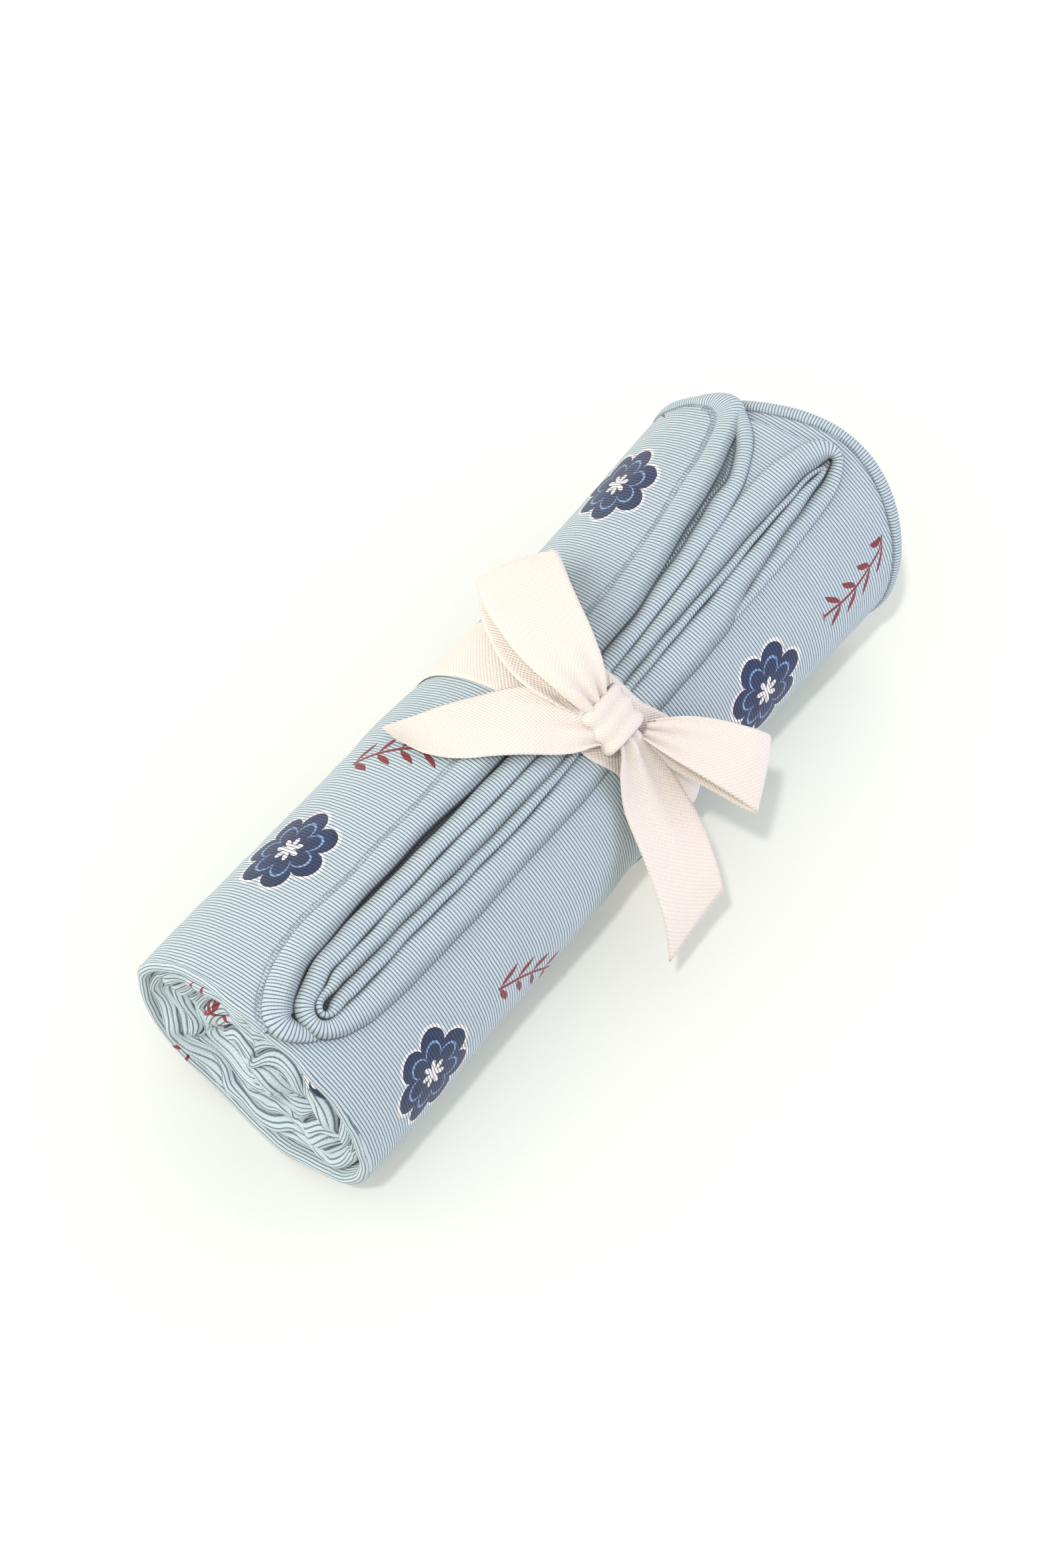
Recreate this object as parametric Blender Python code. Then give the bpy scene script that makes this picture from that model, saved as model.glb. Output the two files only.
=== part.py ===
"""Rolled swaddle blanket, tied in the middle with a ribbon bow.

The blanket is a square knit cloth, folded in half and then in thirds to a strip of six layers, and
rolled up along its length. It is one solid: an oval roll with a waist under the ribbon, the six
stepped and nested layers of its loose end on top, and the folded turns of its two ends. The ribbon
is one solid: a band round the waist, a knot, two loops and two free ends.

Lengths are in millimetres and become metres when a mesh is made. The roll's axis is X, from its
folded end (low X) to its hemmed end. Angles go round the axis in degrees from +Y (0) over the top
(90) to -Y (180). "Arc" is a distance round the roll in millimetres from its top line, positive
towards -Y.
"""

import math

import bmesh
import bpy
import numpy as np

MM = 0.001

# The roll: an oval, fitted at its two ends.
HALF_WIDTH = 36.8
HALF_HEIGHT = 34.2
FLAT_DEPTH = 0.8  # how much the floor flattens its underside
AXIS_Y = -0.6
ARC_RADIUS = 35.5  # turns an angle into an arc
TURN_STEP = 3.0  # how much further out one turn lies than the next
WAIST_X = 110.0
WAIST_DEPTH = 1.6  # the broad narrowing between the ends
WAIST_REACH = 100.0
PINCH_DEPTH = 1.0  # the further pinch right under the ribbon
PINCH_REACH = 16.0

# The ends: where the rims lie along X.
NEAR_RIM = 0.8
NEAR_FOOT = 2.0  # the folded end leans out low down
FAR_RIM = 198.8
FAR_LEAN = 12.4  # the hemmed end leans out at the top
FAR_LEAN_ANGLE = 117.0

# The loose end: arcs of its seam and of the crevices between its layers, at places along the roll.
LOOSE_END_COLUMNS = ("x", "seam", "edge1", "edge2", "edge3", "edge4", "foot")
LOOSE_END = (
    (-2.0, 2.0, 4.0, 5.2, 6.0, 6.6, 7.2),
    (1.2, 2.0, 6.5, 8.5, 10.0, 11.6, 13.4),
    (3.6, 1.7, 7.5, 10.0, 12.0, 14.5, 17.1),
    (7.4, 1.0, 7.9, 10.4, 12.4, 15.6, 20.0),
    (11.7, 0.0, 5.3, 10.2, 12.4, 16.2, 22.2),
    (21.0, -0.4, 3.5, 8.3, 12.3, 16.3, 23.9),
    (31.0, -1.8, 2.9, 8.6, 12.4, 16.4, 25.0),
    (50.0, -2.0, 4.1, 9.1, 13.4, 16.7, 25.5),
    (75.0, -1.6, 4.7, 9.6, 14.6, 18.0, 25.8),
    (97.0, -1.6, 5.1, 9.7, 15.6, 18.7, 26.4),
    (112.0, -2.2, 5.0, 9.9, 14.6, 18.3, 25.6),
    (146.0, -4.0, 2.6, 8.2, 12.4, 18.4, 24.4),
    (165.0, -8.0, -1.0, 6.2, 12.3, 18.4, 23.4),
    (178.0, -11.0, -4.2, 3.6, 11.9, 17.8, 22.9),
    (187.0, -13.2, -6.4, 0.4, 11.6, 17.2, 22.5),
    (192.0, -15.2, -7.4, -3.3, 12.3, 16.9, 21.6),
    (197.5, -24.0, -10.4, -9.0, 13.2, 16.0, 19.8),
    (201.2, -30.0, -13.6, -11.0, 14.4, 15.8, 18.2),
    (204.0, -32.0, -15.0, -12.0, 9.0, 11.0, 13.0),
    (210.0, -32.0, -15.0, -12.0, 9.0, 11.0, 13.0),
)
LOOSE_END_TIP = 203.6  # where the loose end stops along X
LAYER_RISE = (4.2, 3.8, 3.3, 2.8, 2.5, 2.3)  # tops above the turn below, first edge to foot
HEM_PUFF = 1.2  # how much the topmost hem swells above its cloth
LEAST_RISE = 0.3  # a layer stands at least this far above the turn below
HEM_REACH = 10.0  # how far behind the seam the topmost layer's shape may differ from the plain roll
CREVICE_DEPTH = 1.5
SHOULDER = 1.7  # the round-over beside a crevice
FOOT_SHOULDER = 2.6

# Each row: a crevice between two layers, and where it starts and ends along X.
CREVICE_SPANS = (
    ("edge1", 12.0, 200.0),
    ("edge2", 15.5, 200.0),
    ("edge3", 15.2, 201.0),
    ("edge4", 15.5, 199.4),
)
# Each row: one of the nested folds at the near end of the loose end, as the tip and the reach of its
# curve along X, and its middle and half width as arcs.
NEAR_FOLDS = (
    (5.4, 6.6, 13.6, 8.6),
    (10.5, 5.0, 12.9, 3.9),
)
NO_FOLD = 99.0  # a distance at which no crevice is felt

# Where the mesh has its rings along X, and its columns between two lines of the loose end, as shares
# of the way from one to the other.
STATIONS = (0.0, 3.0, 5.5, 8.0, 10.5, 13.0, 16.0, 20.0, 26.0, 34.0, 44.0, 56.0, 68.0, 80.0, 90.0, 97.0)
STATIONS += (103.0, 109.0, 115.0, 121.0, 127.0, 134.0, 144.0, 154.0, 164.0, 173.0, 181.0, 187.0, 192.0)
STATIONS += (196.0, 199.5, 202.0, 204.0, 206.0, 209.0)
LAYER_COLUMNS = (
    ("edge1", "edge2", (0.0, 0.3, 0.7)),
    ("edge2", "edge3", (0.0, 0.3, 0.7)),
    ("edge3", "edge4", (0.0, 0.3, 0.7)),
    ("edge4", "foot", (0.0, 0.2, 0.5, 0.8)),
)
BEHIND_SEAM = 5.0
HEM_SHARE = 0.35
HEM_ROUNDING = 1.2
FOOT_COLUMNS = (-0.3, 0.6)  # before and after the foot line
PLAIN_COLUMNS = 50

# Both end faces: the turns as a spiral of rounded folds.
TURN_PITCH = 7.0  # two turns of cloth show as one main fold
END_RINGS = (0.985, 0.96, 0.92, 0.87, 0.82, 0.76, 0.7, 0.63, 0.56, 0.49, 0.41, 0.33, 0.25, 0.16, 0.08)
LIP = 3.2  # rounding of the outermost fold
LIP_PROUD = 1.3  # how far the rounded fold stands past the last ring of the roll
HOLLOW_REACH = 16.5  # how far in from the rim the end face reaches its full recess
NEAR_RECESS = 4.6
FAR_RECESS = 3.5
FOLD_DEPTH = 1.8
EVEN_SHARE = 0.5  # inside this share of the radius the stepped rim has faded to an even oval

# The ribbon.
KNOT_X = 111.5
KNOT_ANGLE = 121.0
KNOT_LIFT = 4.2
KNOT_HALF = (5.6, 7.2, 3.8)  # half sizes along X, round the roll and outwards
KNOT_ROUNDNESS = 0.8  # 1 is an ellipsoid, less is squarer
KNOT_RINGS = 9
KNOT_SIDES = 16
RIBBON_WIDTH = 20.0
RIBBON_THICKNESS = 1.0
SEAT_GAP = 0.35
BAND_X = 110.0
BAND_LEAN = 1.5
BAND_STEPS = 72
STRIP_COLUMNS = 4
STRIP_STEPS_PER_ROW = 4
SPANNED_FROM, SPANNED_TO = 2.0, 196.0  # where along X the roll has a whole section for the ribbon to span
HULL_STEP = 2.0  # degrees between the points of a section

CLOTH_COLOUR = (0.52, 0.60, 0.62, 1.0)
RIBBON_COLOUR = (0.90, 0.82, 0.74, 1.0)


# ---------------------------------------------------------------- helpers


def new_object(name, points_mm, faces, colour, roughness, sheen=0.0):
    """A closed mesh from points in millimetres, with its own material, faces pointing out."""
    mesh = bpy.data.meshes.new(name)
    mesh.from_pydata([tuple(float(c) * MM for c in p) for p in points_mm], [], faces)
    work = bmesh.new()
    work.from_mesh(mesh)
    bmesh.ops.triangulate(work, faces=[f for f in work.faces if len(f.verts) > 3])
    bmesh.ops.recalc_face_normals(work, faces=work.faces)
    work.to_mesh(mesh)
    work.free()
    mesh.shade_smooth()
    thing = bpy.data.objects.new(name, mesh)
    bpy.context.scene.collection.objects.link(thing)
    material = bpy.data.materials.new(name)
    material.use_nodes = True
    shader = material.node_tree.nodes["Principled BSDF"]
    shader.inputs["Base Color"].default_value = colour
    shader.inputs["Roughness"].default_value = roughness
    shader.inputs["Metallic"].default_value = 0.0
    shader.inputs["Sheen Weight"].default_value = sheen
    mesh.materials.append(material)
    return thing


def smooth_step(value):
    """0 below 0, 1 above 1, with an eased rise between."""
    t = np.clip(value, 0.0, 1.0)
    return t * t * (3.0 - 2.0 * t)


def loose_end_line(name, x):
    """The arc of one line of the loose end at places x along the roll."""
    table = np.array(LOOSE_END)
    column = LOOSE_END_COLUMNS.index(name)
    return np.interp(x, table[:, 0], table[:, column])


def arc_of(angle):
    """The arc at an angle, from -half to +half of the way round."""
    turned = (np.asarray(angle) - 90.0 + 180.0) % 360.0 - 180.0
    return np.radians(turned) * ARC_RADIUS


def angle_of(arc):
    """The angle, in degrees, at an arc."""
    return 90.0 + np.degrees(np.asarray(arc) / ARC_RADIUS)


# ---------------------------------------------------------------- the roll's surface


def oval_radius(angle):
    """The distance from the axis to the plain oval."""
    turn = np.radians(angle)
    return 1.0 / np.sqrt((np.cos(turn) / HALF_WIDTH) ** 2 + (np.sin(turn) / HALF_HEIGHT) ** 2)


def band_x(angle):
    """The middle of the ribbon's band along X: it leans towards the knot on top."""
    return BAND_X + BAND_LEAN * np.cos(np.radians(np.asarray(angle) - KNOT_ANGLE))


def waist(x, angle):
    """How far the ribbon draws the roll in."""
    broad = WAIST_DEPTH * np.clip(1.0 - ((x - WAIST_X) / WAIST_REACH) ** 2, 0.0, 1.0)
    pinch = PINCH_DEPTH / (1.0 + ((x - band_x(angle)) / PINCH_REACH) ** 6)
    return broad + pinch


def crevice(distance, shoulder):
    """1 in the crevice, falling along a quarter circle to 0 at the shoulder's width."""
    t = np.clip(distance / shoulder, 0.0, 1.0)
    return 1.0 - np.sqrt(1.0 - (1.0 - t) ** 2)


def crevice_distance(x, arc):
    """How far a point lies from the nearest crevice between the loose end's layers."""
    gaps = []
    for name, start, end in CREVICE_SPANS:
        beyond = np.maximum(np.maximum(start - x, x - end), 0.0)
        gaps.append(np.hypot(arc - loose_end_line(name, x), beyond))
    for tip, reach, middle, half in NEAR_FOLDS:
        along = (x - tip - reach) / reach
        across = (arc - middle) / half
        ring = np.abs(np.hypot(along, across) - 1.0) * min(reach, half)
        gaps.append(np.where(along < 0.0, ring, NO_FOLD))
    return np.minimum.reduce(gaps)


def layers_height(x, arc):
    """The stepped layers of the loose end, above the turn below them."""
    lines = [loose_end_line(name, x) for name in LOOSE_END_COLUMNS[2:]]
    centres = [lines[0]] + [(a + b) / 2.0 for a, b in zip(lines, lines[1:])] + [lines[-1]]
    rise = np.zeros_like(x)
    for low, high, near, far in zip(LAYER_RISE, LAYER_RISE[1:], centres, centres[1:]):
        share = np.clip((arc - near) / np.maximum(far - near, 0.01), 0.0, 1.0)
        rise = np.where(arc >= near, low + (high - low) * share, rise)
    inside = np.minimum(lines[-1] - arc, LOOSE_END_TIP - x)
    edge = 1.0 - crevice(np.clip(inside, 0.0, None), FOOT_SHOULDER)
    groove = CREVICE_DEPTH * crevice(crevice_distance(x, arc), SHOULDER)
    return np.where(inside > 0.0, np.maximum(rise - groove, LEAST_RISE) * edge, 0.0)


def roll_radius(x, angle):
    """The distance from the axis to the blanket's surface."""
    x, angle = np.broadcast_arrays(np.asarray(x, float), np.asarray(angle, float))
    arc = arc_of(angle)
    edge, seam = loose_end_line("edge1", x), loose_end_line("seam", x)
    wound = (angle_of(edge) - angle) % 360.0 / 360.0
    spiral = TURN_STEP * (0.5 - wound)
    puff = HEM_PUFF * smooth_step((arc - seam) / np.maximum(edge - seam, 0.5) * 2.0)
    groove = CREVICE_DEPTH * crevice(crevice_distance(x, arc), SHOULDER)
    covered = (arc <= edge) & (arc > seam - HEM_REACH)
    on_top = np.where(covered, puff * (arc > seam) - groove, 0.0)
    stepped = np.where(arc > edge, layers_height(x, arc), 0.0)
    return oval_radius(angle) - waist(x, angle) + spiral + on_top + stepped


def near_rim(angle):
    """Where the folded end's rim lies along X."""
    low = (1.0 + np.cos(np.radians(np.asarray(angle) - 200.0))) / 2.0
    return NEAR_RIM - NEAR_FOOT * low**3


def far_rim(angle):
    """Where the hemmed end's rim lies along X."""
    high = (1.0 + np.cos(np.radians(np.asarray(angle) - FAR_LEAN_ANGLE))) / 2.0
    return FAR_RIM + FAR_LEAN * high**4


def place(x, angle, radius):
    """Points in millimetres, with the underside flattened by the floor."""
    turn = np.radians(angle)
    y = AXIS_Y + radius * np.cos(turn)
    z = HALF_HEIGHT - FLAT_DEPTH + radius * np.sin(turn)
    return np.stack(np.broadcast_arrays(x, y, np.maximum(z, 0.0)), axis=-1)


# ---------------------------------------------------------------- the blanket


def column_angles(x):
    """The angles of the mesh's columns at one place: each line of the loose end has its own."""
    lines = {name: float(loose_end_line(name, x)) for name in LOOSE_END_COLUMNS[1:]}
    hem = lines["edge1"] - lines["seam"]
    arcs = [lines["seam"] - BEHIND_SEAM, lines["seam"], lines["seam"] + HEM_SHARE * hem]
    arcs.append(lines["edge1"] - min(HEM_ROUNDING, HEM_SHARE * hem))
    for start, end, shares in LAYER_COLUMNS:
        arcs += [lines[start] + share * (lines[end] - lines[start]) for share in shares]
    arcs += [lines["foot"] + step for step in FOOT_COLUMNS]
    first, last = float(angle_of(arcs[0])), float(angle_of(arcs[-1]))
    plain = np.linspace(last, first + 360.0, PLAIN_COLUMNS + 2)[1:-1]
    return np.concatenate([angle_of(arcs), plain])


def end_rings(rim_x, rim_angle, rim_radius, outwards, recess, middle_x):
    """Rings of points over one end face, from its rim to just short of its centre at middle_x.

    The face is a spiral of folds: each ring dips where the spiral's crevice passes.
    """
    rings = []
    even = oval_radius(rim_angle)
    for share in END_RINGS:
        stepped = smooth_step((share - EVEN_SHARE) / (1.0 - EVEN_SHARE))
        radius = share * (even + (rim_radius - even) * stepped)
        inset = even * (1.0 - share)
        lip = np.sqrt(np.clip(1.0 - (1.0 - np.clip(inset / LIP, 0.0, 1.0)) ** 2, 0.0, 1.0))
        phase = (inset - LIP) / TURN_PITCH + rim_angle / 360.0
        dip = FOLD_DEPTH * (0.5 - 0.5 * np.cos(2.0 * math.pi * phase)) * smooth_step((inset - LIP) / LIP)
        dip = dip * smooth_step(share / EVEN_SHARE)
        hollow = recess * smooth_step((inset - LIP) / HOLLOW_REACH)
        x = rim_x + outwards * (LIP_PROUD * lip - dip - hollow)
        x = x + (1.0 - share) ** 2 * (middle_x - rim_x)
        rings.append(place(x, rim_angle, radius))
    return rings


def make_blanket():
    """The rolled blanket as one solid."""
    loops = []
    for station in STATIONS:
        angle = column_angles(station)
        near, far = near_rim(angle), far_rim(angle)
        x = near + (far - near) * station / STATIONS[-1]
        loops.append((x, angle, roll_radius(x, angle)))
    near_face = end_rings(*loops[0], -1.0, NEAR_RECESS, NEAR_RIM)
    far_face = end_rings(*loops[-1], 1.0, FAR_RECESS, FAR_RIM)
    rings = near_face[::-1] + [place(*loop) for loop in loops] + far_face
    count = rings[0].shape[0]
    points = [p for ring in rings for p in ring]
    faces = []
    for row in range(len(rings) - 1):
        for i in range(count):
            j = (i + 1) % count
            low, high = row * count, (row + 1) * count
            faces.append((low + i, low + j, high + j, high + i))
    for ring in (0, len(rings) - 1):
        centre = len(points)
        points.append(rings[ring].mean(axis=0))
        start = ring * count
        faces += [(start + i, start + (i + 1) % count, centre) for i in range(count)]
    return new_object("blanket", points, faces, CLOTH_COLOUR, 0.92, sheen=0.25)


# ---------------------------------------------------------------- the ribbon


def taut_radius(x, angle):
    """The blanket's section with its hollows spanned, as a taut ribbon spans them."""
    around = np.arange(0.0, 360.0, HULL_STEP)
    hull = convex_hull(place(x, around, roll_radius(x, around))[:, 1:])
    middle = np.array([AXIS_Y, HALF_HEIGHT - FLAT_DEPTH])
    way = np.array([math.cos(math.radians(angle)), math.sin(math.radians(angle))])
    best = 0.0
    for a, b in zip(hull, np.roll(hull, -1, axis=0)):
        side = b - a
        cross = way[0] * side[1] - way[1] * side[0]
        if abs(cross) < 1e-9:
            continue
        offset = a - middle
        along = (offset[0] * side[1] - offset[1] * side[0]) / cross
        share = (offset[0] * way[1] - offset[1] * way[0]) / cross
        if along > 0.0 and -1e-6 <= share <= 1.0 + 1e-6:
            best = max(best, along)
    return best


def convex_hull(points):
    """The hull of points in a plane, anticlockwise."""
    ordered = sorted(map(tuple, points))

    def half(run):
        chain = []
        for p in run:
            while len(chain) > 1 and turn(chain[-2], chain[-1], p) <= 0.0:
                chain.pop()
            chain.append(p)
        return chain[:-1]

    def turn(a, b, c):
        return (b[0] - a[0]) * (c[1] - a[1]) - (b[1] - a[1]) * (c[0] - a[0])

    return np.array(half(ordered) + half(ordered[::-1]))


def catmull_rom(rows, steps):
    """A smooth run through rows of numbers, with so many steps between two rows."""
    rows = np.asarray(rows, float)
    ends = np.vstack([2 * rows[0] - rows[1], rows, 2 * rows[-1] - rows[-2]])
    out = []
    for a, b, c, d in zip(ends, ends[1:], ends[2:], ends[3:]):
        square, cube = 2 * a - 5 * b + 4 * c - d, 3 * b - a - 3 * c + d
        for k in range(steps):
            t = k / steps
            out.append(0.5 * (2 * b + (c - a) * t + square * t**2 + cube * t**3))
    out.append(rows[-1])
    return np.array(out)


def strip_solid(name, grid, thickness, closed=False):
    """A sheet of the given thickness whose middle surface is a grid of points.

    Closed joins its last row to its first.
    """
    if closed:
        along = np.roll(grid, -1, axis=0) - np.roll(grid, 1, axis=0)
    else:
        along = np.gradient(grid, axis=0)
    across = np.gradient(grid, axis=1)
    normal = np.cross(along, across)
    normal /= np.linalg.norm(normal, axis=-1, keepdims=True)
    rows, columns = grid.shape[:2]
    upper = (grid + normal * thickness / 2.0).reshape(-1, 3)
    lower = (grid - normal * thickness / 2.0).reshape(-1, 3)
    points = list(upper) + list(lower)
    shift = rows * columns
    faces = []
    for i in range(rows if closed else rows - 1):
        a, b = i * columns, (i + 1) % rows * columns
        for j in range(columns - 1):
            faces.append((a + j, b + j, b + j + 1, a + j + 1))
            faces.append((shift + a + j, shift + a + j + 1, shift + b + j + 1, shift + b + j))
        faces.append((a, shift + a, shift + b, b))
        last = columns - 1
        faces.append((a + last, b + last, shift + b + last, shift + a + last))
    if not closed:
        for a in (0, (rows - 1) * columns):
            faces += [(a + j, a + j + 1, shift + a + j + 1, shift + a + j) for j in range(columns - 1)]
    return new_object(name, points, faces, RIBBON_COLOUR, 0.85)


def strip_grid(rows):
    """The middle surface of a stretch of ribbon from rows of (x, angle, lift) at its two edges.

    Lift is the height above the blanket's spanned section.
    """
    smooth = catmull_rom(rows, STRIP_STEPS_PER_ROW)
    grid = np.zeros((len(smooth), STRIP_COLUMNS, 3))
    for i, row in enumerate(smooth):
        for j in range(STRIP_COLUMNS):
            x, angle, lift = row[:3] + (row[3:] - row[:3]) * j / (STRIP_COLUMNS - 1)
            inside = float(np.clip(x, SPANNED_FROM, SPANNED_TO))
            grid[i, j] = place(x, angle, taut_radius(inside, angle) + lift)
    return grid


def band_grid():
    """The band's middle surface, round the whole roll."""
    grid = np.zeros((BAND_STEPS, STRIP_COLUMNS, 3))
    lift = SEAT_GAP + RIBBON_THICKNESS / 2.0
    for i in range(BAND_STEPS):
        angle = 360.0 * i / BAND_STEPS
        for j in range(STRIP_COLUMNS):
            x = float(band_x(angle)) + RIBBON_WIDTH * (j / (STRIP_COLUMNS - 1) - 0.5)
            grid[i, j] = place(x, angle, taut_radius(x, angle) + lift)
    return grid


# Each row: x, angle and lift of the low-X edge, then of the high-X edge, from the knot out.
LEFT_TAIL = (
    (104.5, 121.0, 4.2, 111.0, 115.0, 4.4),
    (98.0, 114.0, 3.6, 109.0, 99.0, 3.8),
    (91.5, 104.5, 2.8, 103.5, 82.0, 3.0),
    (81.5, 87.0, 1.1, 94.0, 66.0, 1.3),
    (77.0, 71.0, 1.0, 85.5, 53.0, 1.2),
    (76.8, 57.0, 1.1, 79.8, 42.5, 1.3),
)
DOWN_TAIL = (
    (107.5, 124.0, 5.2, 114.0, 124.0, 5.4),
    (103.0, 137.0, 2.8, 116.0, 139.0, 3.2),
    (99.5, 152.0, 2.6, 116.5, 154.0, 3.4),
    (95.0, 171.0, 9.0, 114.0, 169.0, 9.0),
    (88.0, 192.0, 21.0, 108.5, 184.0, 17.5),
)
LEFT_LOOP = (
    (108.0, 114.0, 5.0, 112.5, 110.0, 5.2),
    (105.5, 96.0, 8.2, 117.5, 103.0, 8.4),
    (107.5, 78.0, 9.8, 122.5, 92.0, 10.6),
    (114.0, 58.0, 10.2, 129.0, 78.0, 10.8),
    (122.0, 40.5, 9.4, 135.5, 65.5, 9.8),
    (125.0, 34.0, 7.4, 138.5, 59.0, 8.0),
    (122.5, 38.5, 5.0, 136.5, 63.0, 5.8),
    (115.0, 55.5, 4.6, 129.5, 75.0, 5.2),
    (108.0, 76.0, 4.4, 122.5, 90.0, 5.0),
    (106.5, 96.0, 3.8, 117.0, 102.0, 4.2),
    (108.0, 114.0, 3.4, 112.5, 110.0, 3.4),
)
RIGHT_LOOP = (
    (113.5, 129.0, 5.0, 117.5, 126.0, 5.4),
    (115.5, 141.0, 8.8, 125.0, 134.0, 9.0),
    (118.5, 153.0, 13.4, 131.0, 143.0, 12.4),
    (122.0, 164.0, 18.6, 135.5, 151.0, 15.2),
    (123.5, 168.5, 19.6, 137.0, 154.5, 15.4),
    (122.5, 168.5, 15.4, 136.5, 154.5, 12.0),
    (119.5, 160.0, 8.4, 132.0, 148.5, 7.0),
    (116.0, 147.0, 3.8, 125.5, 139.0, 4.2),
    (114.0, 130.0, 3.4, 117.5, 128.0, 3.6),
)


def make_knot():
    """A rounded lump on the roll's shoulder, from which the loops and the free ends leave."""
    radius = taut_radius(KNOT_X, KNOT_ANGLE) + KNOT_LIFT
    centre = place(KNOT_X, KNOT_ANGLE, radius)
    turn = math.radians(KNOT_ANGLE)
    outward = np.array([0.0, math.cos(turn), math.sin(turn)])
    around = np.array([0.0, -math.sin(turn), math.cos(turn)])
    lengthwise = np.array([1.0, 0.0, 0.0])
    points, faces = [], []
    for i in range(1, KNOT_RINGS):
        up = math.pi * i / KNOT_RINGS
        for j in range(KNOT_SIDES):
            side = 2.0 * math.pi * j / KNOT_SIDES
            ways = (math.cos(side), math.sin(side), math.cos(up))
            flat = [abs(v) ** KNOT_ROUNDNESS * math.copysign(1.0, v) for v in ways]
            across = math.sin(up) ** KNOT_ROUNDNESS
            offset = lengthwise * KNOT_HALF[0] * across * flat[0] + around * KNOT_HALF[1] * across * flat[1]
            points.append(centre + offset + outward * KNOT_HALF[2] * flat[2])
    for i in range(KNOT_RINGS - 2):
        low, high = i * KNOT_SIDES, (i + 1) * KNOT_SIDES
        for j in range(KNOT_SIDES):
            k = (j + 1) % KNOT_SIDES
            faces.append((low + j, low + k, high + k, high + j))
    for sign, ring in ((1.0, 0), (-1.0, KNOT_RINGS - 2)):
        points.append(centre + outward * KNOT_HALF[2] * sign)
        start = ring * KNOT_SIDES
        faces += [(start + j, start + (j + 1) % KNOT_SIDES, len(points) - 1) for j in range(KNOT_SIDES)]
    return new_object("knot", points, faces, RIBBON_COLOUR, 0.85)


def make_ribbon():
    """The band, with the knot, loops and free ends joined to it as one piece of ribbon."""
    ribbon = strip_solid("ribbon", band_grid(), RIBBON_THICKNESS, closed=True)
    parts = [make_knot()]
    for name, rows in (
        ("left_tail", LEFT_TAIL),
        ("down_tail", DOWN_TAIL),
        ("left_loop", LEFT_LOOP),
        ("right_loop", RIGHT_LOOP),
    ):
        parts.append(strip_solid(name, strip_grid(rows), RIBBON_THICKNESS))
    for part in parts:
        part.hide_render = True
        part.display_type = "WIRE"
        union = ribbon.modifiers.new(part.name, "BOOLEAN")
        union.operation = "UNION"
        union.solver = "EXACT"
        union.object = part
    return ribbon


# ---------------------------------------------------------------- the whole


def centre_on_origin(things):
    """Moves everything so that the middle of the box's underside is the origin."""
    bpy.context.view_layer.update()
    graph = bpy.context.evaluated_depsgraph_get()
    corners = []
    for thing in things:
        solid = thing.evaluated_get(graph).to_mesh()
        corners += [tuple(v.co) for v in solid.vertices]
    low, high = np.min(corners, axis=0), np.max(corners, axis=0)
    shift = (-(low[0] + high[0]) / 2.0, -(low[1] + high[1]) / 2.0, -low[2])
    for thing in bpy.data.objects:
        for vertex in thing.data.vertices:
            vertex.co = [vertex.co[k] + shift[k] for k in range(3)]


def main():
    """Clears the scene and builds the blanket and its ribbon."""
    for thing in list(bpy.data.objects):
        bpy.data.objects.remove(thing, do_unlink=True)
    blanket = make_blanket()
    ribbon = make_ribbon()
    centre_on_origin([blanket, ribbon])


main()
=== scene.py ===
"""Rolled swaddle blanket tied with a ribbon bow: the looks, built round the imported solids.

A square of fine ribbed jersey is folded in half and then in thirds, and rolled up along the strip.
The outermost turn is one sheet, the blanket's turned hem is one long rounded band that runs back and
forth through the six layers of the loose end and on round the far rim, and both ends of the roll are
spirals of folds. The ribbon is a woven cotton tape with a knot, two loops and two cut ends.

Lengths are in millimetres in the roll's own frame, where X runs along the roll from its folded end,
and become metres in the part's frame when a mesh is made. Angles go round the roll in degrees, from
+Y (0) over the top (90) to -Y (180). An arc is a distance round the roll from its top line, positive
towards -Y.
"""

import logging
import math
from dataclasses import dataclass, field
from enum import Enum
from functools import partial
from typing import Callable, Optional, Sequence, Union

import bmesh
import bpy
import numpy as np
from mathutils import Matrix, Vector
from mathutils.bvhtree import BVHTree


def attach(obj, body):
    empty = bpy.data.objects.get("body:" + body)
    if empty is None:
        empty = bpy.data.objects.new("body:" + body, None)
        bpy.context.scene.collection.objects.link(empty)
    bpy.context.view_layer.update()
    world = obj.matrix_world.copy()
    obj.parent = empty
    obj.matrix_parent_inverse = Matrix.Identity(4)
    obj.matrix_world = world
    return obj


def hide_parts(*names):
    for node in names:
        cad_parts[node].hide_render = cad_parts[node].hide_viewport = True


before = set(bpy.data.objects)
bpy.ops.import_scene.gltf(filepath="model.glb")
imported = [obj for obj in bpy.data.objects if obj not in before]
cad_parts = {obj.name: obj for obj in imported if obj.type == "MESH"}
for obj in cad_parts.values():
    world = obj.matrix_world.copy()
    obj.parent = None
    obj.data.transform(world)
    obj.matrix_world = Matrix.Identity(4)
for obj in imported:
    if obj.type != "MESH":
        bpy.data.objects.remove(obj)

LOG = logging.getLogger("swaddle")
Array = np.ndarray

MM = 0.001
# The roll's own origin in the part's frame, in millimetres.
ROLL_ORIGIN = np.array([-104.964, 9.156, 0.0])
BODY = "root"
CLOTH_UV = "cloth"
# the name of the point attribute that carries painted shade into the cloth's colour
SHADE_ATTRIBUTE = "hollow"
WELD = 2e-6  # points closer than this are one, in metres
FLOOR_GAP = 0.05  # the least height of the cloth over the floor, in millimetres
ARC_PER_DEGREE = 0.62  # millimetres along the roll's surface for each degree round it
TURN_LENGTH = 223.0  # once round the roll, in millimetres


# ---------------------------------------------------------------- small helpers


def smooth_step(value: Array) -> Array:
    """0 below 0, 1 above 1, with an eased rise between."""
    t = np.clip(value, 0.0, 1.0)
    return t * t * (3.0 - 2.0 * t)


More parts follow.
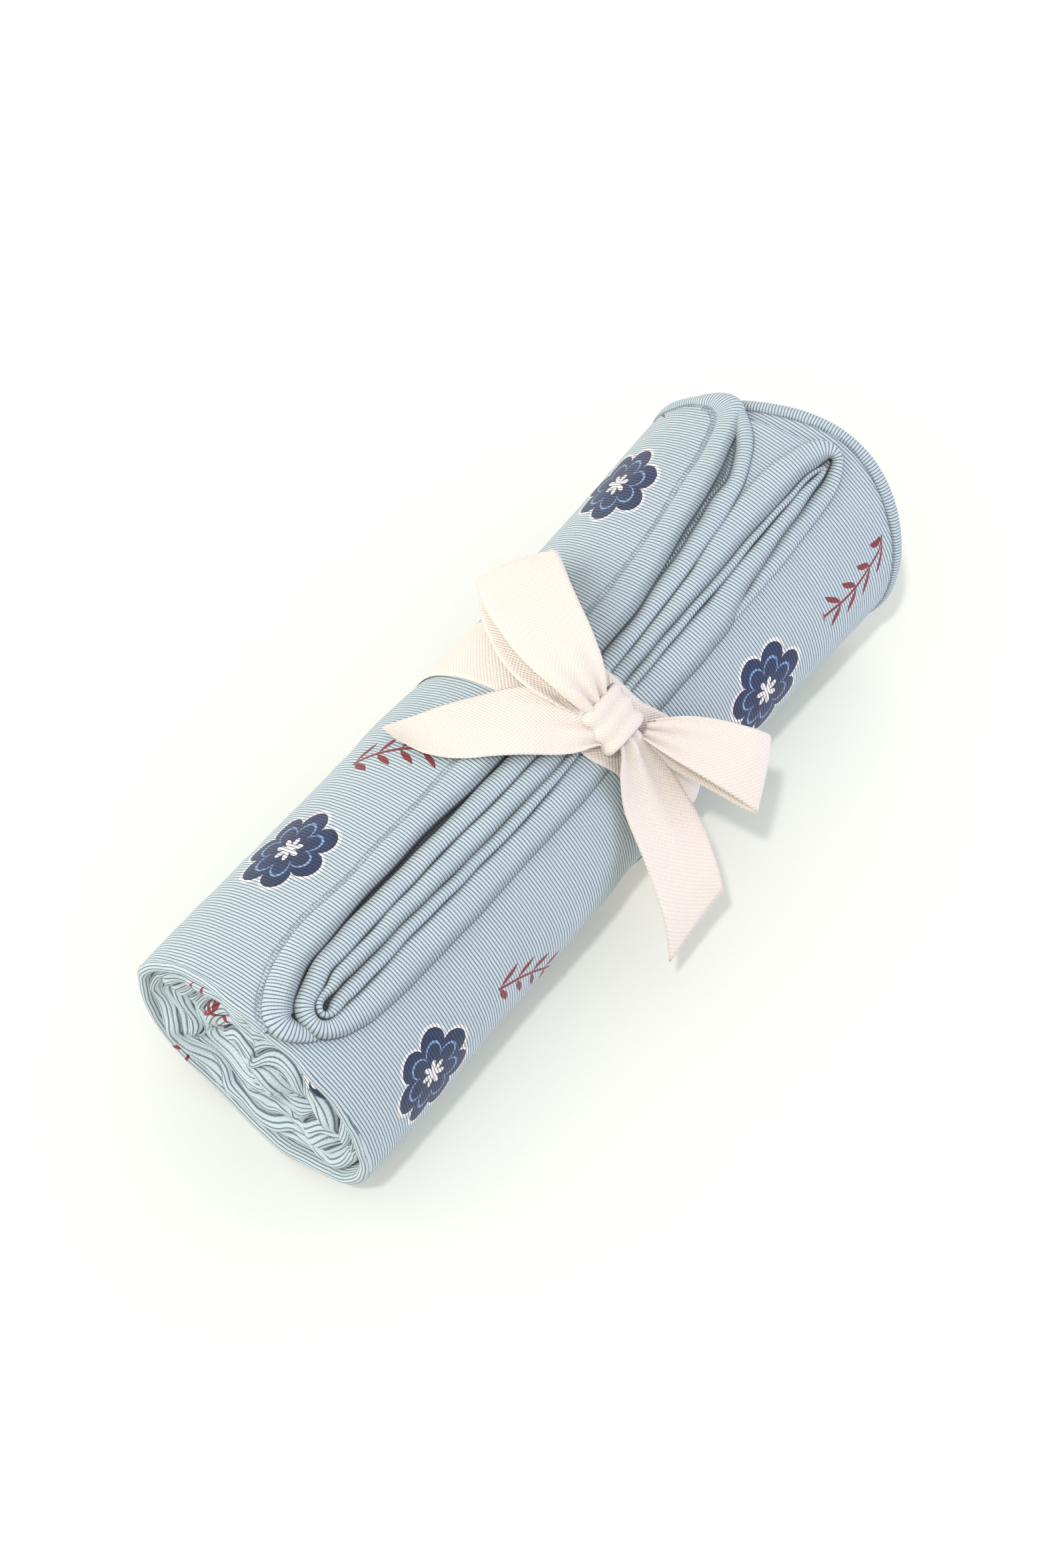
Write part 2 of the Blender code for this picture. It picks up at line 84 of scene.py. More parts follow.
def unit(vectors: Array) -> Array:
    """Vectors scaled to length 1."""
    return vectors / np.maximum(np.linalg.norm(vectors, axis=-1, keepdims=True), 1e-9)


@dataclass(frozen=True)
class Sway:
    """A soft unevenness over a surface, the same each run: a few plane waves added up."""

    height: float
    wavelength: float  # the mean distance from crest to crest, in millimetres
    seed: int

    WAVES = 7

    def over(self, u: Array, v: Union[Array, float] = 0.0) -> Array:
        """Its height at places on the surface.

        Args:
            u: First coordinate in millimetres.
            v: Second coordinate in millimetres, or 0 where it changes one way only.

        Returns:
            From about -height to height at each place.
        """
        draw = np.random.RandomState(self.seed)
        total = np.zeros(np.broadcast(u, v).shape)
        for _ in range(self.WAVES):
            way, phase = draw.uniform(0.0, 2.0 * math.pi, 2)
            rate = 2.0 * math.pi / (self.wavelength * draw.uniform(0.7, 1.5))
            total = total + np.sin((u * math.cos(way) + v * math.sin(way)) * rate + phase)
        return self.height * (total / (0.5 * self.WAVES))


def swayed(sways: Sequence[Sway], u: Array, v: Union[Array, float] = 0.0) -> Array:
    """The sum of several unevennesses, at the places that Sway.over takes."""
    return sum(sway.over(u, v) for sway in sways)


def catmull_rom(rows: Sequence[Sequence[float]], steps: int) -> Array:
    """A smooth run through rows of numbers.

    Args:
        rows: The rows that the run passes through.
        steps: How many steps there are from one row to the next.

    Returns:
        The run, with steps * (rows - 1) + 1 rows.
    """
    table = np.asarray(rows, float)
    ends = np.vstack([2 * table[0] - table[1], table, 2 * table[-1] - table[-2]])
    share = (np.arange(steps) / steps)[:, None]
    out = []
    for a, b, c, d in zip(ends, ends[1:], ends[2:], ends[3:]):
        square, cube = 2 * a - 5 * b + 4 * c - d, 3 * b - a - 3 * c + d
        out.append(0.5 * (2 * b + (c - a) * share + square * share**2 + cube * share**3))
    return np.vstack(out + [table[-1:]])


def path_lengths(points: Array) -> Array:
    """The distance along a run of points, from its first to each."""
    steps = np.linalg.norm(np.diff(points, axis=0), axis=-1)
    return np.concatenate([[0.0], np.cumsum(steps)])


def to_part(points: Array) -> Array:
    """Points of the roll's own frame, in millimetres, in the part's frame, in metres."""
    return (points + ROLL_ORIGIN) * MM


def add_object(name: str, data: bpy.types.ID) -> bpy.types.Object:
    """Makes an object at the origin and links it to the scene.

    Args:
        name: Its name.
        data: Its mesh, light or camera.

    Returns:
        The new object.
    """
    thing = bpy.data.objects.new(name, data)
    bpy.context.scene.collection.objects.link(thing)
    return thing


# ---------------------------------------------------------------- meshes


@dataclass
class Patch:
    """A grid of points in millimetres with a cloth coordinate for each, ready to be a mesh.

    The cloth coordinates are in millimetres too: the first runs across the knit's ribs and the
    second along them.
    """

    points: Array
    cloth: Array
    ring: bool = False
    flip: bool = False
    hollow: Optional[Array] = None  # how much painted shade each point gets, from 0 to 1

    def faces(self, first: int) -> list[tuple[int, int, int, int]]:
        """The grid's quads.

        Args:
            first: The number of its first point in the mesh.

        Returns:
            Four point numbers for each quad.
        """
        rows, columns = self.points.shape[:2]
        span = columns if self.ring else columns - 1
        quads = []
        for i in range(rows - 1):
            low, high = first + i * columns, first + (i + 1) * columns
            for j in range(span):
                k = (j + 1) % columns
                quad = (low + j, low + k, high + k, high + j)
                quads.append(quad[::-1] if self.flip else quad)
        return quads


def mesh_object(name: str, patches: Sequence[Patch], material: bpy.types.Material) -> bpy.types.Object:
    """A smooth-shaded object from grids, with their cloth coordinates as its UV map.

    Args:
        name: The object's name.
        patches: The grids, which become islands of one mesh.
        material: Its finish.

    Returns:
        The new object, linked to the scene.
    """
    points, quads, cloth, hollow = [], [], [], []
    for patch in patches:
        quads += patch.faces(sum(len(p) for p in points))
        points.append(to_part(patch.points.reshape(-1, 3)))
        cloth.append(patch.cloth.reshape(-1, 2) * MM)
        depth = np.zeros(patch.points.shape[:2]) if patch.hollow is None else patch.hollow
        hollow.append(depth.ravel())
    mesh = bpy.data.meshes.new(name)
    mesh.from_pydata(np.vstack(points).tolist(), [], quads)
    layer = mesh.uv_layers.new(name=CLOTH_UV)
    corners = np.empty(len(mesh.loops), dtype=np.int32)
    mesh.loops.foreach_get("vertex_index", corners)
    layer.data.foreach_set("uv", np.vstack(cloth)[corners].astype(np.float32).ravel())
    # each point's share of painted shade, which darkens the jersey's colour
    depths = mesh.attributes.new(SHADE_ATTRIBUTE, "FLOAT", "POINT")
    depths.data.foreach_set("value", np.concatenate(hollow).astype(np.float32))
    shell = bmesh.new()
    shell.from_mesh(mesh)
    bmesh.ops.remove_doubles(shell, verts=shell.verts, dist=WELD)
    shell.to_mesh(mesh)
    shell.free()
    mesh.materials.append(material)
    mesh.shade_smooth()
    mesh.update()
    return add_object(name, mesh)


def place_piece(thing: bpy.types.Object, node: str) -> bpy.types.Object:
    """Rides a finished piece on the part's body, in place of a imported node.

    Args:
        thing: The piece.
        node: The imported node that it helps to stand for.

    Returns:
        The same piece.
    """
    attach(thing, BODY)
    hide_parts(node)
    triangles = sum(len(p.vertices) - 2 for p in thing.data.polygons)
    LOG.info("%s: %d triangles", thing.name, triangles)
    return thing


# ---------------------------------------------------------------- the roll's form


@dataclass(frozen=True)
class RollForm:
    """The wound roll that everything lies on: an oval with a waist, a spiral step and two rims."""

    half_width: float = 36.8
    half_height: float = 34.2
    flat_depth: float = 0.8
    axis_y: float = -0.6
    arc_radius: float = 35.5
    turn_step: float = 3.0
    waist_x: float = 110.0
    waist_depth: float = 1.6
    waist_reach: float = 100.0
    pinch_depth: float = 1.0
    pinch_reach: float = 16.0
    band_x: float = 110.0
    band_lean: float = 1.5
    knot_angle: float = 121.0
    near_rim: float = -0.5
    near_foot: float = 2.0
    near_foot_angle: float = 200.0
    far_rim: float = 198.8
    far_lean: float = 12.4
    far_lean_angle: float = 117.0
    far_lip: float = 0.6

    def angle_of(self, arc: Array) -> Array:
        """The angle, in degrees, at an arc."""
        return 90.0 + np.degrees(np.asarray(arc) / self.arc_radius)

    def oval(self, angle: Array) -> Array:
        """The distance from the axis to the plain oval."""
        turn = np.radians(angle)
        return 1.0 / np.sqrt((np.cos(turn) / self.half_width) ** 2 + (np.sin(turn) / self.half_height) ** 2)

    def waist(self, x: Array, angle: Array) -> Array:
        """How far the ribbon draws the roll in.

        Args:
            x: Places along the roll.
            angle: Angles round it.

        Returns:
            The depth at each place: a broad waist and a pinch right under the band.
        """
        broad = self.waist_depth * np.clip(1.0 - ((x - self.waist_x) / self.waist_reach) ** 2, 0.0, 1.0)
        middle = self.band_x + self.band_lean * np.cos(np.radians(angle - self.knot_angle))
        return broad + self.pinch_depth / (1.0 + ((x - middle) / self.pinch_reach) ** 6)

    def base_radius(self, x: Array, angle: Array) -> Array:
        """The distance from the axis to the middle of the outermost turn's spiral step."""
        return self.oval(angle) - self.waist(x, angle)

    def near_x(self, angle: Array) -> Array:
        """Where the folded end's rim lies along X."""
        low = (1.0 + np.cos(np.radians(angle - self.near_foot_angle))) / 2.0
        return self.near_rim - self.near_foot * low**3

    def far_x(self, angle: Array) -> Array:
        """Where the hemmed end's rim lies along X."""
        high = (1.0 + np.cos(np.radians(angle - self.far_lean_angle))) / 2.0
        return self.far_rim + self.far_lip + self.far_lean * high**4

    def place(self, x: Array, angle: Array, radius: Array) -> Array:
        """Points on the roll, with its underside flattened by the floor.

        Args:
            x: Places along the roll.
            angle: Angles round it.
            radius: Distances from its axis.

        Returns:
            Points in millimetres in the roll's own frame.
        """
        turn = np.radians(angle)
        y = self.axis_y + radius * np.cos(turn)
        z = self.half_height - self.flat_depth + radius * np.sin(turn)
        return np.stack(np.broadcast_arrays(x, y, np.maximum(z, FLOOR_GAP)), axis=-1)

    def outward(self, angle: Array) -> Array:
        """The oval's outward normal at an angle."""
        turn = np.radians(np.asarray(angle, float))
        y, z = np.cos(turn) / self.half_width, np.sin(turn) / self.half_height
        return unit(np.stack([np.zeros_like(y), y, z], axis=-1))


# The loose end: arcs of its lines at places along the roll. The top layer's hem lies from seam to
# top_edge, the second's from edge1 to edge2, and so on to the sixth's, from edge5 to foot.
LOOSE_END_COLUMNS = ("x", "seam", "top_edge", "edge1", "edge2", "edge3", "edge4", "edge5", "foot")
LOOSE_END = np.array(
    (
        (-2.0, 8.0, 9.0, 9.0, 10.0, 11.0, 12.0, 13.0, 13.0),
        (0.0, 5.4, 8.4, 8.4, 10.0, 11.4, 12.6, 14.0, 14.0),
        (2.0, 2.2, 7.6, 7.6, 10.0, 11.8, 13.6, 15.5, 15.5),
        (5.1, 0.0, 7.0, 7.0, 10.0, 12.0, 14.5, 17.5, 17.5),
        (9.0, -2.0, 6.2, 6.2, 10.0, 12.0, 15.0, 19.3, 19.3),
        (12.7, -3.5, 5.0, 5.0, 10.0, 12.0, 15.9, 21.2, 21.2),
        (21.0, -5.0, 2.9, 2.9, 7.9, 12.2, 16.1, 23.6, 23.6),
        (28.0, -5.2, 2.4, 2.7, 8.2, 12.4, 16.4, 24.6, 24.6),
        (40.0, -4.3, 2.0, 2.8, 8.2, 12.9, 16.5, 25.2, 25.2),
        (60.0, -4.2, 1.9, 3.7, 8.3, 14.0, 17.3, 25.6, 25.6),
        (78.0, -4.4, 3.3, 3.9, 9.3, 14.7, 18.0, 25.8, 25.8),
        (97.0, -4.6, 3.6, 4.2, 9.6, 15.0, 17.6, 26.2, 26.2),
        (112.0, -4.9, 3.8, 4.2, 9.2, 13.9, 16.6, 25.6, 25.6),
        (138.0, -5.7, 3.2, 3.7, 8.0, 12.4, 15.1, 24.7, 24.7),
        (151.0, -7.1, 0.9, 1.7, 6.8, 12.1, 14.6, 24.0, 24.0),
        (161.5, -8.5, -1.6, 0.3, 5.6, 11.8, 14.2, 20.5, 23.5),
        (174.0, -11.2, -3.8, -1.9, 3.7, 11.4, 13.6, 18.4, 23.0),
        (181.0, -12.4, -5.4, -3.8, 2.0, 11.4, 13.4, 17.5, 22.4),
        (187.0, -13.9, -7.5, -5.0, -0.6, 11.4, 13.3, 16.9, 21.8),
        (192.5, -16.0, -9.0, -7.2, -4.1, 11.5, 13.0, 16.2, 21.1),
        (196.5, -21.0, -10.4, -9.4, -8.4, 11.9, 13.4, 15.7, 20.3),
        (199.0, -26.0, -12.0, -11.0, -10.5, 12.8, 13.9, 15.0, 19.4),
        (201.0, -29.0, -13.5, -11.5, -11.0, 13.5, 13.9, 14.6, 18.2),
        (210.0, -32.0, -15.0, -12.0, -11.5, 13.0, 13.5, 14.0, 14.5),
    )
)
# Places along the roll where the hems run side by side.
ALONG = (24.0, 32.0, 40.0, 50.0, 60.0, 69.0, 78.0, 88.0, 97.0, 105.0, 112.0, 121.0, 130.0, 138.0)
ALONG_FAR = (144.5, 151.0, 156.0, 161.5, 168.0, 174.0)


def loose_end(name: str, x: Array) -> Array:
    """The arc of one line of the loose end at places x along the roll."""
    return np.interp(x, LOOSE_END[:, 0], LOOSE_END[:, LOOSE_END_COLUMNS.index(name)])


def middle_rows(
    low: str, high: str, places: Sequence[float], top: float, pillow: float = 0.0
) -> list[tuple[float, ...]]:
    """Rows of a hem's route midway between two lines of the loose end.

    Args:
        low: The line on the hem's low-arc side.
        high: The line on its high-arc side.
        places: Where along X the rows lie.
        top: How high the hem's top lies over the middle of the outermost turn's step.
        pillow: How far its seam side is drawn flat by its stitches, from 0 to 1.

    Returns:
        Rows of x, arc, half width, top and pillow share.
    """
    rows = []
    for x in places:
        a, b = float(loose_end(low, x)), float(loose_end(high, x))
        rows.append((x, (a + b) / 2.0, (b - a) / 2.0, top, pillow))
    return rows


# ---------------------------------------------------------------- the turns that show at the two ends


class RollEnd(Enum):
    """The two ends of the roll."""

    FOLDED = "where each turn shows one crumpled fold"
    HEMMED = "where each turn shows two hems and a fold"


@dataclass(frozen=True)
class Ridge:
    """One ridge of the spiral at an end of the roll."""

    inset: float  # how far in it lies from its turn's outside
    half: float  # half its width
    setback: float  # how far it lies behind the end's face
    first: float  # where along the spiral it starts, in turns


@dataclass(frozen=True)
class EndTurns:
    """The folds of the inner turns at one end, as a spiral of rounded ridges."""

    form: RollForm
    end: RollEnd
    turn_height: float = 3.4  # how far in one turn lies from the next
    last_turn: float = 9.9
    step: float = 0.95  # the distance between two rows along a ridge
    face_step: float = 0.12  # the angle left flat at each side of a ridge's round top, in radians
    core_angle: float = 155.0  # the flattened core's long axis
    walls: tuple[float, ...] = (12.0, 8.0, 5.0, 2.4, 0.8)  # depths of the ridges' sides
    lead_in: float = 0.3  # turns over which a fold of the folded end grows to its full width
    least_radius: float = 1.7
    tongue_at: tuple[float, float] = (-3.0, 2.0)  # one fold's tongue stands out here in the end's face
    tongue_height: float = 3.6
    tongue_spread: float = 60.0  # in square millimetres

    RIDGES = {
        RollEnd.FOLDED: (Ridge(2.1, 2.65, 0.0, 0.97),),
        RollEnd.HEMMED: (
            Ridge(1.95, 0.75, 0.0, 1.0),
            Ridge(2.85, 0.42, 0.9, 0.12),
            Ridge(3.6, 0.5, 0.5, 0.12),
        ),
    }
    # How far the folds are pushed about, in millimetres, and how much the core is drawn out.
    CRUMPLE = {RollEnd.FOLDED: (2.5, 0.34), RollEnd.HEMMED: (0.8, 0.15)}
    PUSH = (Sway(1.0, 17.0, 51), Sway(0.18, 7.0, 52))
    LIFT = (Sway(1.0, 17.0, 53), Sway(0.18, 7.0, 54))
    # How far the face lies behind the rim, how much further in the middle, and how soon it gets there.
    SINK = {RollEnd.FOLDED: (2.6, 3.6, 2.2), RollEnd.HEMMED: (1.4, 1.8, 2.0)}
    FACE_SWAY = {RollEnd.FOLDED: Sway(1.7, 16.0, 55), RollEnd.HEMMED: Sway(0.5, 12.0, 56)}
    FOLD_SWAY = (Sway(0.9, 30.0, 58), Sway(0.22, 6.5, 59))
    WIDTH_SWAY = Sway(0.08, 21.0, 57)
    CREASE_SWAY = Sway(0.55, 34.0, 60)

    def spiral(self, first: float) -> Array:
        """Places along the spiral, an even distance apart.

        Args:
            first: Where it starts, in turns.

        Returns:
            The turns wound at each place.
        """
        places, wound = [], first
        while wound < self.last_turn:
            places.append(wound)
            radius = max(self.form.arc_radius - self.turn_height * (wound - 0.6), 2.5)
            wound += self.step / (2.0 * math.pi * radius)
        return np.array(places)

    def face_x(self, angle: Array, y: Array, z: Array, deep: Array, run: Array) -> Array:
        """Where the ridges' tops lie along X.

        Args:
            angle: Angles round the roll.
            y: Places in the end's face.
            z: Places in the end's face.
            deep: How far in they lie, from 0 at the rim to 1 at the middle.
            run: The distance along the ridge.

        Returns:
            X at each place.
        """
        # the face lies a little behind the rim, sinks towards its middle and is uneven
        at_rim, further, rate = self.SINK[self.end]
        hollow = at_rim + further * smooth_step(deep * rate)
        uneven = self.FACE_SWAY[self.end].over(y, z)
        if self.end is RollEnd.HEMMED:
            return self.form.far_x(angle) - (hollow - uneven)
        hollow = hollow + uneven * smooth_step(deep * 4.0)
        # each fold also stands a little higher and lower along its own run, and one tongue stands out
        own = swayed(self.FOLD_SWAY, run)
        away = (y - self.tongue_at[0]) ** 2 + (z - self.tongue_at[1]) ** 2
        tongue = self.tongue_height * np.exp(-away / self.tongue_spread)
        return self.form.near_x(angle) + hollow + own * smooth_step(deep * 6.0) - tongue

    def patch(self, ridge: Ridge) -> Patch:
        """The grid of one ridge.

        Args:
            ridge: Where it lies in the spiral, and its width.

        Returns:
            A row for each place along the spiral and a column for each point of the ridge's section.
        """
        form = self.form
        near = self.end is RollEnd.FOLDED
        out = -1.0 if near else 1.0
        wound = self.spiral(ridge.first)
        angle = float(form.angle_of(0.0)) - 360.0 * wound
        outer = form.oval(angle)
        thin = 1.0 - smooth_step((wound - ridge.first) / self.lead_in) if near else 0.0 * wound
        drop = self.turn_height * np.maximum(wound - 1.0, 0.0) + ridge.inset + 1.5 * thin
        step = form.turn_step * (0.5 - np.minimum(wound, 1.0))
        radius = np.maximum(outer + step - drop, self.least_radius)
        turn = np.radians(angle)
        warp, stretch = self.CRUMPLE[self.end]
        run = path_lengths(np.stack([radius * np.cos(turn), radius * np.sin(turn)], axis=-1))
        half = ridge.half * (1.0 - 0.6 * thin) * (1.0 + self.WIDTH_SWAY.over(run))
        crease_at = self.CREASE_SWAY.over(run)  # a shallow crease wanders along each fold's top
        profile = [(-1.0, depth) for depth in self.walls]
        arch = np.linspace(self.face_step, math.pi - self.face_step, 11)
        profile += [(-math.cos(t), -0.85 * math.sin(t)) for t in arch]
        profile += [(1.0, depth) for depth in self.walls[::-1]]
        columns, lengths = [], []
        for share, depth in profile:
            r = radius + share * half * (1.0 + 0.01 * max(depth, 0.0))
            deep = np.clip(1.0 - r / outer, 0.0, 1.0)
            r = r * (1.0 + stretch * deep**1.5 * np.cos(2.0 * (turn - math.radians(self.core_angle))))
            y, z = r * np.cos(turn), r * np.sin(turn)
            sway = warp * smooth_step(deep * 2.6)
            push, lift = swayed(self.PUSH, y, z), swayed(self.LIFT, y, z)
            y, z = y + sway * push, z + sway * lift
            crease = 0.5 * np.exp(-(((share - crease_at) / 0.22) ** 2)) * half if near else 0.0 * half
            x = self.face_x(angle, y, z, deep, run) - out * (ridge.setback + crease)
            x = x - out * (depth * half if depth < 0.0 else depth + 0.0 * half)
            high = np.maximum(form.half_height - form.flat_depth + z, 0.3)
            columns.append(np.stack([x, form.axis_y + y, high], axis=-1))
            lengths.append((share * ridge.half, -depth))
        points = np.stack(columns, axis=1)
        rib = path_lengths(np.array(lengths))
        cloth = np.stack(np.broadcast_arrays(rib[None, :] + 3.0 * ridge.inset, run[:, None]), axis=-1)
        # painted shade, dark from just under the top down the ridge's sides
        hollow = smooth_step((np.array([depth for _, depth in profile]) + 0.55) / 1.3)
        return Patch(points, cloth, flip=near, hollow=np.broadcast_to(hollow[None, :], points.shape[:2]))

    def patches(self) -> list[Patch]:
        """One grid for each ridge of the spiral."""
        return [self.patch(ridge) for ridge in self.RIDGES[self.end]]


# ---------------------------------------------------------------- the blanket


@dataclass
class Blanket:
    """The rolled cloth: its outermost turn, its hem, the layers behind it and the turns at both ends."""

    form: RollForm
    jersey: bpy.types.Material
    plain_jersey: bpy.types.Material
    thread: bpy.types.Material
    turn_span: float = 1.13  # turns that the outermost sheet covers
    turn_columns: int = 272
    under_hem: float = 2.2  # arc from the seam line to the sheet's start under the hem
    lip: float = 1.5  # radius of the outermost fold's nose
    lip_depth: float = 14.0
    hem_thickness: float = 4.4
    hem_step: float = 0.7  # distance between two rings of the hem
    hem_puff: float = 1.55  # drop from the hem's top to its seam
    rim_half: float = 1.75  # half the width of the far rim's hem
    rim_setback: float = 1.4  # the loose corner lies this far behind the turn below
    corner_angle: float = 71.0  # where the loose corner's edge lies
    seat: float = 0.35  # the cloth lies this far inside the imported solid's surface
    hem_sides: int = 24
    hem_roundness: float = 0.92  # 1 is an oval section, less is squarer
    lee_shade: float = 0.38  # how dark the painted shade on the hem's side away from its seam is drawn
    second_lift: float = 1.1  # the second layer's height over the middle of the outermost turn's step
    third_lift: float = 0.85
    cloth_start: float = 0.8  # where the outermost sheet's plain cloth starts along the roll
    cloth_length: float = 197.7
    near_share: float = 0.12  # its rows lie closer together over this share of its length
    near_rows: int = 44
    far_rows: int = 150
    tuck_reach: float = 1.4  # over this distance its edge dips under the rim's hem
    tuck_depth: float = 1.1
    rim_angles: tuple[float, float, float] = (44.0, -321.0, -7.0)  # start, end and step of the rim's hem
    rim_lift: float = 0.65
    crumple_height: float = 0.14  # of the hem at the folded end
    layer_nose: float = 2.6  # length of the round far edge of a layer of cloth
    layer_drop: float = 2.4

    TURN_SWAY = (Sway(0.22, 34.0, 11), Sway(0.1, 11.0, 12))
    LAP_SWAY = (Sway(0.5, 26.0, 21), Sway(0.25, 9.0, 22))
    WALL_SWAY = Sway(0.35, 14.0, 23)
    HEM_TOP_SWAY = Sway(0.12, 17.0, 31)
    HEM_CRUMPLE = Sway(1.0, 4.5, 32)
    HEM_WIDTH_SWAY = Sway(0.04, 23.0, 33)
    HEM_ROUTE_SWAY = Sway(0.15, 15.0, 34)
    LAYER_SWAY = Sway(0.15, 16.0, 41)

    # Rows of the hem's route where it turns: x, arc, half width, top and pillow share.
    NEAR_OUTER_FOLD = (
        (20.1, 5.6, 2.45, 2.2, 0.0), (15.5, 6.9, 2.6, 2.15, 0.0), (12.0, 7.9, 2.5, 2.1, 0.0),
        (10.2, 8.7, 2.6, 2.0, 0.0), (8.9, 9.9, 2.6, 1.9, 0.0), (8.2, 11.4, 2.45, 1.75, 0.0),
        (7.9, 13.0, 2.3, 1.6, 0.0), (8.2, 14.8, 2.25, 1.5, 0.0), (9.2, 16.3, 2.3, 1.4, 0.0),
        (10.7, 17.4, 2.4, 1.35, 0.0), (12.5, 18.2, 2.75, 1.3, 0.0), (15.0, 18.8, 3.2, 1.25, 0.0),
        (19.5, 19.7, 3.7, 1.2, 0.0),
    )
    FAR_INNER_FOLD = (
        (191.0, 14.75, 1.6, 1.05, 0.0), (195.0, 14.55, 1.2, 0.95, 0.0), (197.8, 14.3, 0.95, 0.9, 0.0),
        (199.3, 13.75, 0.75, 0.9, 0.0), (198.2, 13.1, 0.65, 0.9, 0.0), (195.5, 12.4, 0.8, 0.95, 0.0),
        (191.5, 12.2, 0.85, 1.05, 0.0), (187.0, 12.35, 0.95, 1.2, 0.0),
    )
    NEAR_INNER_FOLD = (
        (20.0, 14.05, 1.95, 1.45, 0.0), (17.3, 14.0, 1.75, 1.45, 0.0), (14.8, 14.25, 1.6, 1.45, 0.0),
        (13.0, 14.5, 1.2, 1.45, 0.0), (11.7, 14.0, 0.95, 1.5, 0.0), (11.3, 12.9, 0.9, 1.55, 0.0),
        (11.9, 11.7, 0.95, 1.6, 0.0), (13.1, 10.95, 1.0, 1.7, 0.0), (14.8, 10.7, 1.1, 1.75, 0.0),
        (17.6, 10.7, 1.5, 1.8, 0.0), (20.6, 10.1, 1.95, 1.8, 0.0),
    )
    FAR_OUTER_FOLD = (
        (163.0, 8.4, 3.4, 1.8, 0.5), (170.0, 7.75, 3.8, 1.8, 0.9), (176.0, 7.4, 4.05, 1.95, 1.0),
        (182.0, 7.25, 4.15, 2.1, 1.0), (187.0, 7.25, 4.15, 2.2, 1.0), (191.0, 7.5, 3.95, 2.25, 1.0),
        (194.8, 8.1, 3.6, 2.3, 1.0), (198.2, 8.9, 3.6, 2.3, 1.0), (201.1, 9.9, 3.1, 2.25, 0.9),
        (203.0, 11.4, 2.5, 2.15, 0.6), (203.7, 13.2, 1.8, 1.95, 0.2), (203.2, 14.9, 1.5, 1.75, 0.0),
        (201.8, 16.1, 1.6, 1.55, 0.0), (199.5, 17.2, 1.9, 1.35, 0.0), (196.3, 18.2, 2.15, 1.05, 0.0),
        (192.3, 18.7, 2.4, 0.95, 0.0), (187.0, 19.35, 2.45, 0.85, 0.0),
    )
    NEAR_CORNER = (
        (13.0, 18.6, 2.2, -0.5, 0.0), (9.0, 16.1, 2.2, 0.0, 0.0), (6.4, 14.4, 2.2, 0.6, 0.2),
        (4.5, 12.3, 2.4, 1.35, 0.6), (3.3, 9.9, 2.9, 1.85, 0.9), (3.0, 8.0, 3.3, 2.1, 1.0),
        (3.5, 6.4, 3.7, 2.25, 1.0), (4.9, 4.8, 3.8, 2.35, 1.0), (7.2, 3.2, 3.8, 2.45, 1.0),
        (10.2, 1.75, 3.95, 2.5, 1.0), (13.6, 0.45, 4.0, 2.5, 1.0), (18.0, -0.75, 3.9, 2.5, 1.0),
    )
    FAR_CORNER = (
        (181.0, -8.9, 3.5, 2.5, 1.0), (187.0, -10.7, 3.3, 2.5, 1.0), (191.8, -12.2, 3.3, 2.45, 1.0),
        (195.7, -14.0, 3.5, 2.4, 1.0), (198.3, -16.3, 3.7, 2.35, 1.0), (199.5, -19.2, 3.5, 2.3, 1.0),
        (199.6, -22.2, 2.9, 2.2, 1.0), (199.0, -25.4, 2.3, 2.15, 1.0),
    )

    # -- the outermost turn

    def turn_radius(self, x: Array, angle: Array, wound: Array) -> Array:
        """The outermost turn's radius.

        Args:
            x: Places along the roll.
            angle: Angles round it.
            wound: The turns wound from the loose end's edge.

        Returns:
            The distance from the axis at each place.
        """
        spiral, run = self.form.turn_step * (0.5 - wound), wound * TURN_LENGTH
        return self.form.base_radius(x, angle) + spiral - self.seat + swayed(self.TURN_SWAY, x, run)

    def rim_x(self, angle: Array, wound: Array) -> Array:
        """Where the outermost turn's hemmed rim lies along X."""
        back = self.rim_setback * (1.0 - smooth_step(wound / 0.35))
        return self.form.far_x(angle) - back

    def outer_turn(self) -> Patch:
        """The sheet from under the top hem, round the roll, to under the loose end again.

        Returns:
            Its folded end's inner wall and nose, and then its outside, as one grid.
        """
        form = self.form
        turns = np.linspace(0.0, self.turn_span, self.turn_columns)
        # rows lie closer together near the folded end, where the loose end's lines bend most
        close_rows = np.linspace(0.0, self.near_share, self.near_rows)[:-1]
        stations = np.concatenate([close_rows, np.linspace(self.near_share, 1.0, self.far_rows)])
        nominal = self.cloth_start + stations * self.cloth_length
        start = form.angle_of(loose_end("seam", nominal) + self.under_hem)
        angle = start[:, None] - 360.0 * turns[None, :]
        edge = form.angle_of(loose_end("top_edge", nominal))[:, None]
        wound = (edge - angle) / 360.0
        run = angle * ARC_PER_DEGREE
        nose = form.near_x(angle) + swayed(self.LAP_SWAY, run) + self.lip
        end = self.rim_x(angle, wound) - 1.55 * self.rim_half
        x = nose + (end - nose) * stations[:, None]
        radius = self.turn_radius(x, angle, wound)
        tuck = smooth_step((x - (end - self.tuck_reach)) / self.tuck_reach) * self.tuck_depth
        outside = form.place(x, angle, radius - tuck)
        nose_turn = np.linspace(math.pi, 0.0, 9)[:-1]
        lip_rows = [
            form.place(nose[0] - self.lip * math.sin(t), angle[0], radius[0] - self.lip * (1.0 - math.cos(t)))
            for t in nose_turn
        ]
        depths = np.linspace(self.lip_depth, 1.2, 9)
        wall_rows = []
        for depth in depths:
            sway = self.WALL_SWAY.over(run[0], depth) * min(depth / 5.0, 1.0)
            inner = radius[0] - 2.0 * self.lip - 0.04 * depth + sway
            wall_rows.append(form.place(nose[0] + depth, angle[0], inner))
        points = np.concatenate([np.array(wall_rows), np.array(lip_rows), outside])
        across = np.zeros(points.shape[:2])
